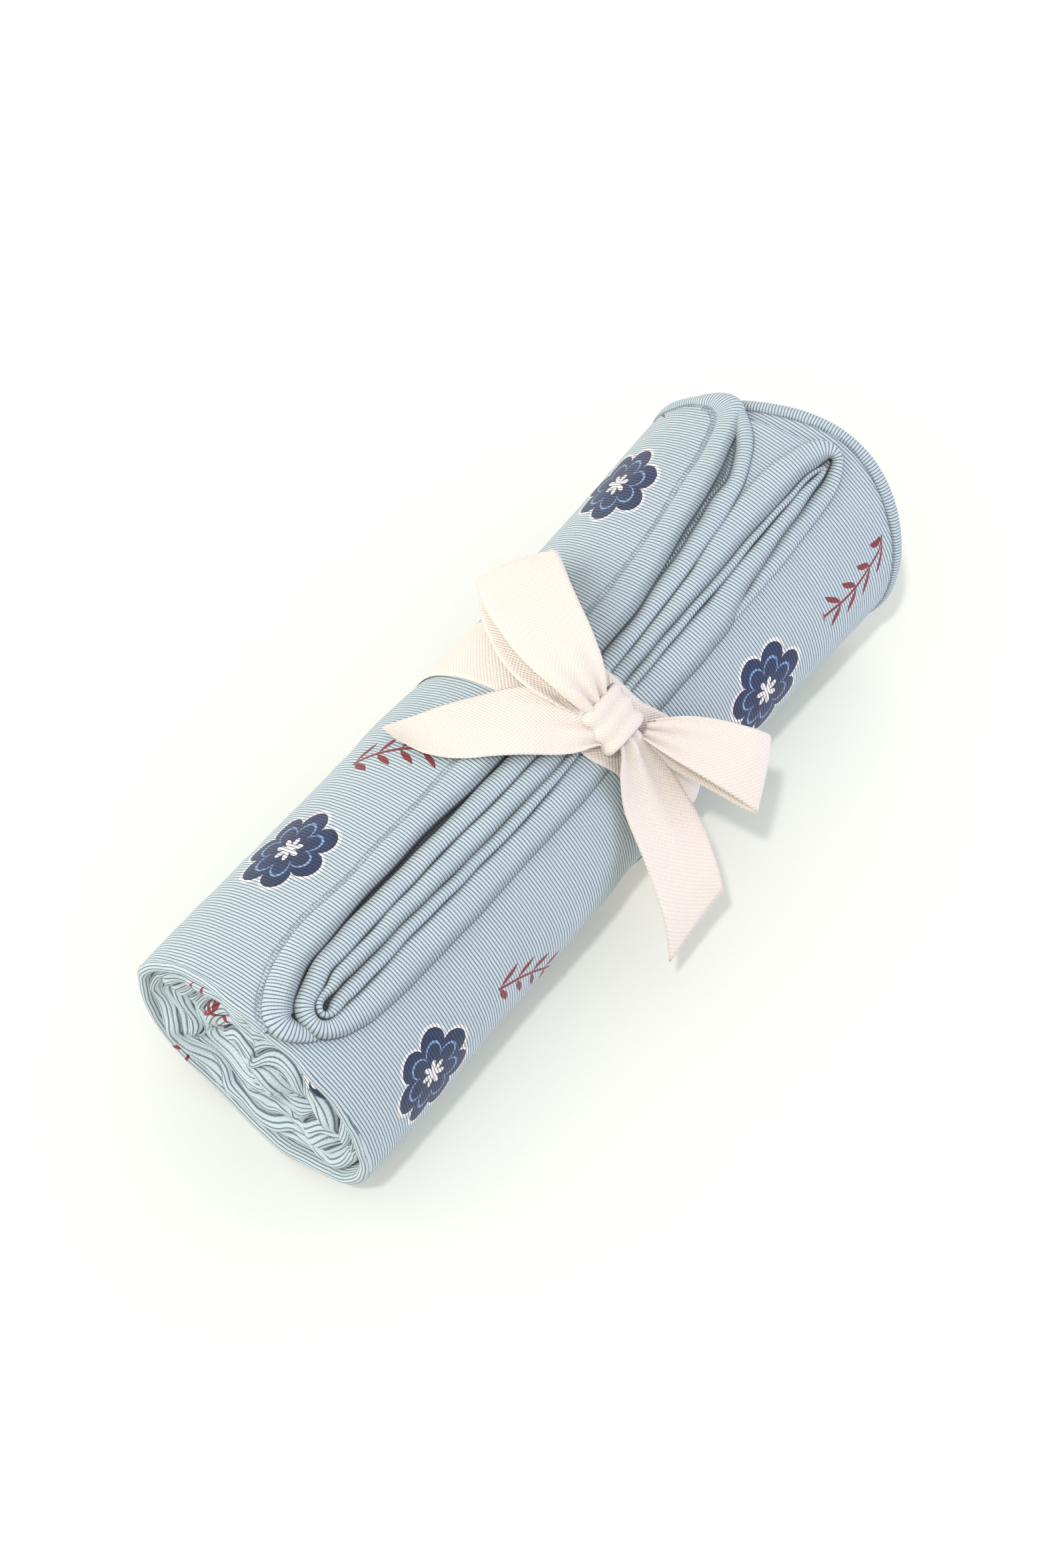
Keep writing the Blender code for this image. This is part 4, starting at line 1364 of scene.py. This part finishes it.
    def stretch_grid(self, stretch: Stretch) -> Array:
        """The middle surface of a stretch, with its pleats at the knot and its soft unevenness.

        Args:
            stretch: The stretch.

        Returns:
            A grid with its rows along the tape and its columns across it.
        """
        rows = catmull_rom(stretch.rows, 14)
        share = np.linspace(0.0, 1.0, self.columns)
        low, high = rows[:, None, :3], rows[:, None, 3:]
        mixed = low + (high - low) * share[None, :, None]
        x, angle, lift = mixed[..., 0], mixed[..., 1], mixed[..., 2]
        grid = self.form.place(x, angle, self.roll.radius(x, angle) + lift)
        length = path_lengths(grid[:, self.columns // 2])
        to_knot = length[:, None] * np.ones_like(share)
        if stretch.end is Cut.HIDDEN:
            to_knot = np.minimum(to_knot, length[-1] - to_knot)
        normal = unit(np.cross(np.gradient(grid, axis=0), np.gradient(grid, axis=1)))
        over = share[None, :] * self.width * np.ones_like(to_knot)
        wave = np.sin(2.0 * math.pi * (share * self.pleat_count + 0.13 * stretch.seed))
        pleat = stretch.pleats * np.exp(-((to_knot / self.pleat_reach) ** 2)) * wave
        sway = Sway(self.softness, self.soft_wavelength, stretch.seed)
        soft = sway.over(to_knot, over) * smooth_step(to_knot / 12.0)
        ridge = stretch.fold * np.exp(-(((share - self.fold_place) / self.fold_half) ** 2))
        ridge = ridge * np.exp(-((to_knot / self.fold_reach) ** 2)) * smooth_step(to_knot / 6.0)
        return grid + normal * (pleat + soft + ridge)[..., None]

    def band_grid(self) -> Array:
        """The middle surface of the band round the roll.

        Returns:
            A grid with its rows round the roll and its columns across the tape.
        """
        angle = np.linspace(0.0, 360.0, self.band_steps, endpoint=False)[:, None]
        share = np.linspace(-0.5, 0.5, self.columns)[None, :]
        away, back = (smooth_step((angle - at) / over) for at, over in (self.slip_start, self.slip_end))
        slip = self.band_slip * (away * (1.0 - back))
        lean = self.form.band_lean * np.cos(np.radians(angle - self.form.knot_angle))
        x = self.form.band_x + lean + slip + self.width * share
        soft = self.BAND_SWAY.over(angle * ARC_PER_DEGREE, x)
        radius = self.roll.radius(x, angle) + self.band_lift + soft
        grid = self.form.place(x, np.broadcast_to(angle, x.shape), radius)
        grid[..., 2] = np.maximum(grid[..., 2], 0.3)
        return grid

    def knot_frame(self) -> tuple[Array, Array, Array, Array]:
        """Where the knot lies.

        Returns:
            Its centre, and its directions along the roll, round it and outwards.
        """
        radius = float(self.roll.radius(self.knot_x, self.knot_angle)) + self.knot_lift
        centre = self.form.place(np.array(self.knot_x), np.array(self.knot_angle), np.array(radius))
        turn = math.radians(self.knot_angle)
        outward = np.array([0.0, math.cos(turn), math.sin(turn)])
        around = np.array([0.0, -math.sin(turn), math.cos(turn)])
        return centre, np.array([1.0, 0.0, 0.0]), around, outward

    def wrap(self, span: tuple[float, float], swell: float, tilt: float, seed: int) -> Array:
        """The tape's turn round the knot, as a grid of its middle surface.

        Args:
            span: Where it starts and ends round the roll, from the knot's centre.
            swell: How much larger it is than the knot's half sizes.
            tilt: How far it slants along the roll, in millimetres over its width.
            seed: Chooses its creases.

        Returns:
            A grid with a row for each step of the turn and a column for each step across.
        """
        centre, lengthwise, around, outward = self.knot_frame()
        turn = np.linspace(0.0, 2.0 * math.pi, 96, endpoint=False)[:, None]
        share = np.linspace(0.0, 1.0, self.columns)[None, :]
        place = span[0] + (span[1] - span[0]) * share
        barrel = 1.0 - 0.1 * ((place / self.knot_half[1]) ** 2)
        wave = share * self.pleat_count + 0.12 * np.sin(turn * 2.0 + seed)
        crease = 0.34 * np.sin(2.0 * math.pi * wave) + Sway(0.12, 9.0, seed).over(turn * 6.0, place * 2.0)
        wide = (self.knot_half[0] + swell) * barrel + crease
        high = (self.knot_half[2] + swell) * barrel + crease
        c, s = np.cos(turn), np.sin(turn)
        along = wide * np.sign(c) * np.abs(c) ** self.knot_squareness + tilt * (share - 0.5)
        out = high * np.sign(s) * np.abs(s) ** self.knot_squareness
        along, out, place = (part[..., None] for part in np.broadcast_arrays(along, out, place))
        return centre + lengthwise * along + around * -place + outward * out

    def knot_core(self) -> Patch:
        """The gathered tape inside the knot, which fills the ends of its turn.

        Returns:
            A rounded lump with folds along it.
        """
        centre, lengthwise, around, outward = self.knot_frame()
        rows = []
        side = np.linspace(0.0, 2.0 * math.pi, 40, endpoint=False)
        for up in np.linspace(0.02, math.pi - 0.02, 20):
            folds = 1.0 + 0.07 * np.sin(side * 9.0 + 0.6 * math.sin(up * 2.0))
            along = math.sin(up) * (self.knot_half[0] - 0.9) * np.cos(side) * folds
            out = math.sin(up) * (self.knot_half[2] - 0.8) * np.sin(side) * folds
            ring = centre + lengthwise * along[:, None] + outward * out[:, None]
            rows.append(ring + around * math.cos(up) * (self.knot_half[1] + 0.6))
        points = np.array(rows)
        cloth = np.stack(np.meshgrid(np.linspace(0.0, 18.0, 40), np.linspace(0.0, 16.0, 20)), axis=-1)
        return Patch(points, cloth, ring=True)

    def fray(self, stretch: Stretch, grid: Array) -> bpy.types.Object:
        """The short loose threads along a cut end.

        Args:
            stretch: The stretch whose far end is cut.
            grid: Its middle surface.

        Returns:
            The threads, as one plain mesh.
        """
        edge = grid[-1]
        away = unit(grid[-1] - grid[-3])
        normal = unit(np.cross(away, np.gradient(edge, axis=0)))
        across = math.pi / 2.0
        run = StitchRun(0.28, 1.1, 0.09, slant=across, wander=0.55, seed=stretch.seed)
        return run.build(f"fray_{stretch.name}", to_part(edge + away * 0.15), normal, self.frayed)

    def build(self) -> list[bpy.types.Object]:
        """Makes the ribbon and the threads at its cut ends, and rides them.

        Returns:
            The ribbon's pieces.
        """
        patches = [self.strip(self.band_grid(), closed=True)]
        cut_ends = []
        for stretch in (self.LEFT_TAIL, self.DOWN_TAIL, self.LEFT_LOOP, self.RIGHT_LOOP):
            grid = self.stretch_grid(stretch)
            patches.append(self.strip(grid))
            if stretch.end is Cut.SLANTED:
                cut_ends.append(place_piece(self.fray(stretch, grid), "ribbon"))
        patches += [self.strip(self.wrap(*turn), closed=True) for turn in self.WRAPS]
        patches.append(self.knot_core())
        ribbon = place_piece(mesh_object("ribbon_bow", patches, self.tape), "ribbon")
        return [ribbon] + cut_ends


# ---------------------------------------------------------------- finishes


def linear(colour: str) -> tuple[float, float, float, float]:
    """A colour given as an sRGB hex value, as linear light with an alpha of 1."""
    parts = [int(colour[i : i + 2], 16) / 255.0 for i in (1, 3, 5)]
    light = [p / 12.92 if p <= 0.04045 else ((p + 0.055) / 1.055) ** 2.4 for p in parts]
    return (light[0], light[1], light[2], 1.0)


def new_material(name: str) -> tuple[bpy.types.Material, Callable, bpy.types.Node]:
    """A material with a Principled shader.

    Args:
        name: The material's name.

    Returns:
        The material, a function that adds a node to its tree, and its shader node.
    """
    material = bpy.data.materials.new(name)
    material.use_nodes = True
    return material, partial(add_node, material.node_tree), material.node_tree.nodes["Principled BSDF"]


@dataclass(frozen=True)
class RibbedJersey:
    """Fine ribbed cotton jersey, knitted and then dyed: matt, soft, a little fuzzy, in even ridges.

    Its ribs lie 0.85 mm apart and its loops 0.62 mm, as in the photograph.
    """

    name: str = "ribbed cotton jersey"
    ground: str = "#B3C1C5"
    crown: str = "#C4CFD2"
    # the painted shade that the grooves between ribs are multiplied by
    groove_shade: str = "#7F8F98"
    crevice_shade: str = "#2C3848"  # painted shade: the colour that crevices between layers of cloth, the sides of hems and ridges and a hem's lee side are darkened towards
    rib: float = 0.85
    loop: float = 0.62
    stray: float = 0.35  # how far the ribs wander
    relief: float = 0.28  # how deep the grooves are
    roughness: float = 0.88
    fuzz: float = 0.25
    printed: bool = False

    def build(self) -> bpy.types.Material:
        """Makes the material.

        Returns:
            The finish, with the print on it where it has one.
        """
        material, add, shader = new_material(self.name + (" with print" if self.printed else ""))
        cloth = add("ShaderNodeUVMap", {"uv_map": CLOTH_UV})
        uneven = add("ShaderNodeTexNoise", Vector=cloth, Scale=260.0, Detail=2.0)
        pull = add("ShaderNodeVectorMath", "SUBTRACT", uneven.outputs["Color"], (0.5,) * 3)
        shift = add("ShaderNodeVectorMath", "SCALE", pull, Scale=self.stray * MM)
        drawn = add("ShaderNodeVectorMath", "ADD", cloth, shift)
        x, y, _ = add("ShaderNodeSeparateXYZ", Vector=drawn).outputs
        across = add("ShaderNodeMath", "DIVIDE", x, self.rib * MM)
        ridge = add("ShaderNodeMath", "PINGPONG", across, 0.5)
        rib = add("ShaderNodeMapRange", {"interpolation_type": "SMOOTHSTEP"}, ridge, 0.02, 0.24)
        along = add("ShaderNodeMath", "DIVIDE", y, self.loop * MM)
        vee = add("ShaderNodeMath", "MULTIPLY_ADD", ridge, 1.1, along)
        loops = add("ShaderNodeMath", "PINGPONG", vee, 0.5)
        height = add("ShaderNodeMath", "MULTIPLY_ADD", loops, 0.5, rib)
        mottle = add("ShaderNodeTexNoise", Vector=cloth, Scale=55.0, Detail=4.0, Roughness=0.6)
        ground = add("ShaderNodeMix", COLOURS, mottle, linear(self.ground), linear(self.crown))
        if self.printed:
            ground = FlowerPrint().colour(add, cloth, ground)
        # painted shade in the grooves between ribs, and painted shade and light on the loops by their height
        multiply = {**COLOURS, "blend_type": "MULTIPLY"}
        deep = add("ShaderNodeMix", multiply, 1.0, ground, linear(self.groove_shade))
        lit = add("ShaderNodeMix", COLOURS, rib, deep, ground)
        loop_shade = add("ShaderNodeMapRange", None, loops, 0.0, 0.5, 0.9, 1.03)
        knit = add("ShaderNodeVectorMath", "SCALE", lit, Scale=loop_shade)
        # painted shade in crevices, down the sides of hems and ridges and on a hem's lee side, by each
        # point's share
        hollow = add("ShaderNodeAttribute", {"attribute_name": SHADE_ATTRIBUTE}).outputs["Fac"]
        painted_shade = add("ShaderNodeMix", COLOURS, hollow, linear("#FFFFFF"), linear(self.crevice_shade))
        colour = add("ShaderNodeVectorMath", "MULTIPLY", knit, painted_shade)
        bump = add("ShaderNodeBump", Strength=0.75, Distance=self.relief * MM, Height=height)
        feed(
            shader,
            Base_Color=colour,
            Normal=bump,
            Roughness=self.roughness,
            Specular_IOR_Level=0.25,
            Sheen_Weight=self.fuzz,
            Sheen_Roughness=0.5,
        )
        return material


@dataclass(frozen=True)
class FlowerPrint:
    """A pigment print of generic round flowers, leafy sprigs and small blossoms, on slanting rows.

    Pigment lies in the cloth's surface, so it is as matt as the knit, with a slightly broken edge.
    """

    row_step: float = 75.0
    place_step: float = 128.0
    row_shift: float = 56.0
    flower_at: tuple[float, float] = (40.0, 22.0)
    sprig_at: tuple[float, float] = (60.0, 168.0)
    blossom_at: tuple[float, float] = (190.0, 138.0)
    petals: int = 7
    petal_tip: float = 13.5
    petal_notch: float = 9.6
    ring_depth: float = 12.0  # the flower's rings are given as shares of this depth from its edge
    sprig_half: float = 13.0
    sprig_bend: float = 0.012
    stem_half: float = 0.42
    leaf: float = 5.0
    leaf_half: float = 1.15
    leaf_step: float = 3.1
    blossom_petals: float = 5.0
    blossom_radius: float = 2.9
    blossom_notch: float = 0.9
    blossom_eye: float = 0.8
    navy: str = "#2B3E68"
    deep_navy: str = "#18233F"
    cream: str = "#F2E8E1"
    pale: str = "#7F9CC4"
    burgundy: str = "#8A3238"

    def cell(self, add: Callable, cloth: Feed, centre: tuple[float, float]) -> tuple[Feed, Feed, Feed]:
        """Places in millimetres from the nearest repeat of a motif.

        Args:
            add: Adds a node to the material's tree.
            cloth: The cloth coordinate.
            centre: Where one of the motif's repeats lies, in millimetres.

        Returns:
            The distances along and across, and a number that differs for each repeat.
        """
        in_mm = add("ShaderNodeVectorMath", "SCALE", cloth, Scale=1.0 / MM)
        moved = add("ShaderNodeVectorMath", "SUBTRACT", in_mm, (*centre, 0.0))
        x, y, _ = add("ShaderNodeSeparateXYZ", Vector=moved).outputs
        row = add("ShaderNodeMath", "ROUND", add("ShaderNodeMath", "DIVIDE", y, self.row_step))
        v = add("ShaderNodeMath", "MULTIPLY_ADD", row, -self.row_step, y)
        slid = add("ShaderNodeMath", "MULTIPLY_ADD", row, -self.row_shift, x)
        place = add("ShaderNodeMath", "ROUND", add("ShaderNodeMath", "DIVIDE", slid, self.place_step))
        u = add("ShaderNodeMath", "MULTIPLY_ADD", place, -self.place_step, slid)
        return u, v, add("ShaderNodeMath", "MULTIPLY_ADD", place, 2.3, row)

    def polar(self, add: Callable, u: Feed, v: Feed) -> tuple[Feed, Feed]:
        """A place's distance from the middle of its motif, and its bearing.

        Args:
            add: Adds a node to the material's tree.
            u: The distance along.
            v: The distance across.

        Returns:
            The distance in millimetres and the bearing in radians.
        """
        spot = add("ShaderNodeCombineXYZ", X=u, Y=v)
        return add("ShaderNodeVectorMath", "LENGTH", spot), add("ShaderNodeMath", "ARCTAN2", v, u)

    def colour(self, add: Callable, cloth: Feed, ground: Feed) -> Feed:
        """Lays the print over the ground colour: sprigs first, then blossoms, then flowers.

        Args:
            add: Adds a node to the material's tree.
            cloth: The cloth coordinate.
            ground: The dyed ground's colour.

        Returns:
            The printed colour.
        """
        for motif in (self.sprigs, self.blossoms, self.flowers):
            mask, ink = motif(add, cloth)
            ground = add("ShaderNodeMix", COLOURS, mask, ground, ink)
        return ground

    def flowers(self, add: Callable, cloth: Feed) -> tuple[Feed, Feed]:
        """Round navy flowers with a cream outline, a pale inner line and a cream middle.

        Args:
            add: Adds a node to the material's tree.
            cloth: The cloth coordinate.

        Returns:
            1 inside a flower and 0 outside, and its colours.
        """
        u, v, number = self.cell(add, cloth, self.flower_at)
        distance, bearing = self.polar(add, u, v)
        turned = add("ShaderNodeMath", "MULTIPLY_ADD", number, 0.9, bearing)
        sector = math.pi / self.petals
        folded = add("ShaderNodeMath", "PINGPONG", turned, sector)
        quarter = add("ShaderNodeMath", "MULTIPLY", folded, 0.5 * math.pi / sector)
        full = add("ShaderNodeMath", "POWER", add("ShaderNodeMath", "COSINE", quarter), 0.6)
        reach = self.petal_tip - self.petal_notch
        rim = add("ShaderNodeMath", "MULTIPLY_ADD", full, reach, self.petal_notch)
        edge = add("ShaderNodeMath", "SUBTRACT", distance, rim)
        broken = add("ShaderNodeTexNoise", Vector=cloth, Scale=900.0, Detail=1.0)
        edge = add("ShaderNodeMath", "MULTIPLY_ADD", broken, 0.35, edge)
        brush = add("ShaderNodeTexNoise", Vector=cloth, Scale=140.0, Detail=3.0, Distortion=1.5)
        navy = add("ShaderNodeMix", COLOURS, brush, linear(self.deep_navy), linear(self.navy))
        depth = add("ShaderNodeMapRange", None, edge, 0.0, -self.ring_depth)
        rings = add("ShaderNodeValToRGB", Fac=depth)
        rings.color_ramp.interpolation = "CONSTANT"
        stops = rings.color_ramp.elements
        cream, pale, none = linear(self.cream), linear(self.pale), linear("#000000")
        stops[0].color = cream
        stops[1].position, stops[1].color = 0.075, none
        for position, colour in ((0.36, pale), (0.42, none), (0.8, cream)):
            stops.new(position).color = colour
        lined = add("ShaderNodeMath", "GREATER_THAN", rings, 0.001)
        ink = add("ShaderNodeMix", COLOURS, lined, navy, rings)
        return add("ShaderNodeMath", "LESS_THAN", edge, 0.0), ink

    def sprigs(self, add: Callable, cloth: Feed) -> tuple[Feed, Feed]:
        """Thin burgundy stems with pairs of narrow leaves.

        Args:
            add: Adds a node to the material's tree.
            cloth: The cloth coordinate.

        Returns:
            1 on a sprig and 0 elsewhere, and its colour.
        """
        u, v, number = self.cell(add, cloth, self.sprig_at)
        spot = add("ShaderNodeCombineXYZ", X=u, Y=v)
        angle = add("ShaderNodeMath", "MULTIPLY_ADD", number, 1.1, 0.75)
        lean = add("ShaderNodeVectorRotate", {"rotation_type": "Z_AXIS"}, Vector=spot, Angle=angle)
        along, over, _ = add("ShaderNodeSeparateXYZ", Vector=lean).outputs
        square = add("ShaderNodeMath", "MULTIPLY", along, along)
        bent = add("ShaderNodeMath", "MULTIPLY_ADD", square, self.sprig_bend, over)
        off = add("ShaderNodeMath", "ABSOLUTE", bent)
        stem = add("ShaderNodeMath", "LESS_THAN", off, self.stem_half)
        slid = add("ShaderNodeMath", "MULTIPLY_ADD", off, -0.9, along)
        pair = add("ShaderNodeMath", "PINGPONG", slid, self.leaf_step)
        reach = add("ShaderNodeMapRange", None, off, 0.2, self.leaf, 0.0, math.pi)
        swell = add("ShaderNodeMath", "MULTIPLY", add("ShaderNodeMath", "SINE", reach), self.leaf_half)
        leaf = add("ShaderNodeMath", "LESS_THAN", pair, swell)
        either = add("ShaderNodeMath", "MAXIMUM", leaf, stem)
        far = add("ShaderNodeMath", "ABSOLUTE", along)
        within = add("ShaderNodeMath", "LESS_THAN", far, self.sprig_half)
        return add("ShaderNodeMath", "MULTIPLY", either, within), linear(self.burgundy)

    def blossoms(self, add: Callable, cloth: Feed) -> tuple[Feed, Feed]:
        """Small cream blossoms of five petals.

        Args:
            add: Adds a node to the material's tree.
            cloth: The cloth coordinate.

        Returns:
            1 inside a blossom and 0 outside, and its colours.
        """
        u, v, number = self.cell(add, cloth, self.blossom_at)
        distance, bearing = self.polar(add, u, v)
        petals = add("ShaderNodeMath", "MULTIPLY_ADD", bearing, self.blossom_petals, number)
        wave = add("ShaderNodeMath", "COSINE", petals)
        rim = add("ShaderNodeMath", "MULTIPLY_ADD", wave, self.blossom_notch, self.blossom_radius)
        middle = add("ShaderNodeMath", "GREATER_THAN", distance, self.blossom_eye)
        ink = add("ShaderNodeMix", COLOURS, middle, linear(self.burgundy), linear(self.cream))
        return add("ShaderNodeMath", "LESS_THAN", distance, rim), ink


@dataclass(frozen=True)
class CottonTape:
    """Unbleached cotton tape in a plain weave: matt and creamy, a little warmer on alternate crossings of its
    weave.

    Light passes a little way into its loose yarn, which softens its shadows.
    """

    name: str = "woven cotton tape"
    light: str = "#E8DED4"
    warm: str = "#DAC7B6"
    thread_step: float = 0.55
    relief: float = 0.18
    roughness: float = 0.82

    def build(self) -> bpy.types.Material:
        """Makes the material.

        Returns:
            The finish.
        """
        material, add, shader = new_material(self.name)
        cloth = add("ShaderNodeUVMap", {"uv_map": CLOTH_UV})
        axes = add("ShaderNodeSeparateXYZ", Vector=cloth).outputs
        rate = math.pi / (self.thread_step * MM)
        turns = [add("ShaderNodeMath", "MULTIPLY", axis, rate) for axis in axes[:2]]
        warp, weft = (add("ShaderNodeMath", "SINE", turn) for turn in turns)
        weave = add("ShaderNodeMath", "MULTIPLY", warp, weft)
        slub = add("ShaderNodeTexNoise", Vector=cloth, Scale=420.0, Detail=3.0)
        height = add("ShaderNodeMath", "MULTIPLY_ADD", slub, 0.8, weave)
        shade = add("ShaderNodeMapRange", None, weave, -1.0, 1.0, 0.0, 0.5)
        colour = add("ShaderNodeMix", COLOURS, shade, linear(self.light), linear(self.warm))
        bump = add("ShaderNodeBump", Strength=0.7, Distance=self.relief * MM, Height=height)
        feed(
            shader,
            Base_Color=colour,
            Normal=bump,
            Roughness=self.roughness,
            Specular_IOR_Level=0.25,
            Sheen_Weight=0.15,
            Subsurface_Weight=0.12,
            Subsurface_Radius=(0.004, 0.0022, 0.0014),
            Subsurface_Scale=0.5,
        )
        return material


@dataclass(frozen=True)
class SpunThread:
    """Spun sewing thread: matt, with a faint twist."""

    name: str
    light: str
    dark: str

    def build(self) -> bpy.types.Material:
        """Makes the material.

        Returns:
            The finish.
        """
        material, add, shader = new_material(self.name)
        place = add("ShaderNodeTexCoord").outputs["Object"]
        fibre = add("ShaderNodeTexNoise", Vector=place, Scale=2600.0, Detail=1.0)
        colour = add("ShaderNodeMix", COLOURS, fibre, linear(self.dark), linear(self.light))
        feed(shader, Base_Color=colour, Roughness=0.7, Sheen_Weight=0.2)
        return material


@dataclass(frozen=True)
class WhitePaper:
    """Matt white paper with a fine tooth: it gives back light evenly, with no gloss."""

    name: str = "matt white paper"
    low: str = "#F8F9F2"
    high: str = "#FAFBF4"

    def build(self) -> bpy.types.Material:
        """Makes the material.

        Returns:
            The finish.
        """
        material, add, shader = new_material(self.name)
        place = add("ShaderNodeTexCoord").outputs["Object"]
        tooth = add("ShaderNodeTexNoise", Vector=place, Scale=900.0)
        tint = add("ShaderNodeMix", COLOURS, tooth, linear(self.low), linear(self.high))
        feed(shader, Base_Color=tint, Roughness=0.95, Specular_IOR_Level=0.0)
        return material


# ---------------------------------------------------------------- the studio


@dataclass
class Studio:
    """A plain white floor in soft light, and the camera."""

    yaw: float = 39.0
    elevation: float = 62.2
    distance: float = 1.0
    target: tuple[float, float, float] = (98.0, -1.2, 35.0)
    focal_pixels: float = 6220.0
    frame_height: float = 2352.0
    sensor: float = 36.0
    floor_half: float = 6.0
    lit_point: tuple[float, float, float] = (0.0, 0.0, 0.03)

    def axes(self) -> tuple[Vector, Vector, Vector]:
        """The camera's directions.

        Returns:
            Its level forward direction, its right and its line of sight.
        """
        yaw, lift = math.radians(self.yaw), math.radians(self.elevation)
        forward = Vector((math.cos(yaw), math.sin(yaw), 0.0))
        right = Vector((math.sin(yaw), -math.cos(yaw), 0.0))
        sight = forward * math.cos(lift) - Vector((0.0, 0.0, math.sin(lift)))
        return forward, right, sight

    def camera(self) -> None:
        """Sets the camera at the photograph's viewing angle."""
        _, right, sight = self.axes()
        lens = bpy.data.cameras.new("camera")
        lens.sensor_width = self.sensor
        lens.lens = self.focal_pixels * self.sensor / self.frame_height
        lens.clip_start, lens.clip_end = 0.05, 50.0
        eye = add_object("camera", lens)
        target = Vector(to_part(np.array(self.target)))
        turn = Matrix((right, right.cross(sight), -sight)).transposed().to_4x4()
        eye.matrix_world = Matrix.Translation(target - sight * self.distance) @ turn
        bpy.context.scene.camera = eye

    def lamp(
        self, name: str, kind: str, power: float, colour: str, travel: Vector, **settings: float
    ) -> bpy.types.Object:
        """Adds a light.

        Args:
            name: Its name.
            kind: SUN or AREA.
            power: Its strength.
            colour: Its tint.
            travel: The direction its light travels; an area light stands that far back from the roll.
            settings: Further attributes of the light.

        Returns:
            The light's object.
        """
        data = bpy.data.lights.new(name, kind)
        for key, value in {"energy": power, "color": linear(colour)[:3], **settings}.items():
            setattr(data, key, value)
        lamp = add_object(name, data)
        lamp.rotation_mode = "QUATERNION"
        lamp.rotation_quaternion = travel.to_track_quat("-Z", "Y")
        lamp.location = Vector(self.lit_point) - travel
        return lamp

    def build(self) -> None:
        """Makes the floor, the lights, the surrounding light and the camera."""
        self.camera()
        forward, right, _ = self.axes()
        down = Vector((0.0, 0.0, -1.0))
        key = forward * 0.35 + right * 0.12 + down
        self.lamp("key", "SUN", 0.85, "#FFFBF6", key, angle=math.radians(3.0))
        left = right * 0.8 + forward * 0.1 + down * 0.55
        bank = self.lamp("left_bank", "AREA", 6.0, "#FDFEF9", left, size=0.9)
        fill = self.lamp("right_fill", "AREA", 3.6, "#CDD2FF", right * -0.8 + down * 0.3, size=0.7)
        world = bpy.data.worlds.new("soft box")
        world.use_nodes = True
        feed(world.node_tree.nodes["Background"], Color=linear("#F8F9FA"), Strength=0.97)
        bpy.context.scene.world = world
        bpy.context.scene.view_settings.view_transform = "Standard"
        flagged = bpy.data.collections.new("flagged off the side lights")
        flagged.objects.link(self.floor())
        flagged.collection_objects[0].light_linking.link_state = "EXCLUDE"
        for lamp in (bank, fill):
            lamp.light_linking.receiver_collection = flagged

    def floor(self) -> bpy.types.Object:
        """A broad sheet of paper.

        Returns:
            The floor.
        """
        half = self.floor_half
        corners = [(-half, -half, 0), (half, -half, 0), (half, half, 0), (-half, half, 0)]
        mesh = bpy.data.meshes.new("floor")
        mesh.from_pydata(corners, [], [(0, 1, 2, 3)])
        mesh.materials.append(WhitePaper().build())
        floor = add_object("floor", mesh)
        return floor


# ---------------------------------------------------------------- the whole


def main() -> None:
    """Builds the studio, the blanket and the ribbon, and reports each piece."""
    logging.basicConfig(level=logging.INFO, format="%(name)s: %(message)s")
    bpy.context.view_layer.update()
    Studio().build()
    form = RollForm()
    thread = SpunThread("spun cotton thread", "#A6B9C0", "#6B7F8A").build()
    Blanket(form, RibbedJersey(printed=True).build(), RibbedJersey().build(), thread).build()
    roll = SpannedRoll(form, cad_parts["blanket"])
    frayed = SpunThread("loose cotton thread", "#FBF4EC", "#E9DCCD").build()
    RibbonBow(form, roll, CottonTape().build(), frayed).build()


if __name__ == "__main__":
    main()
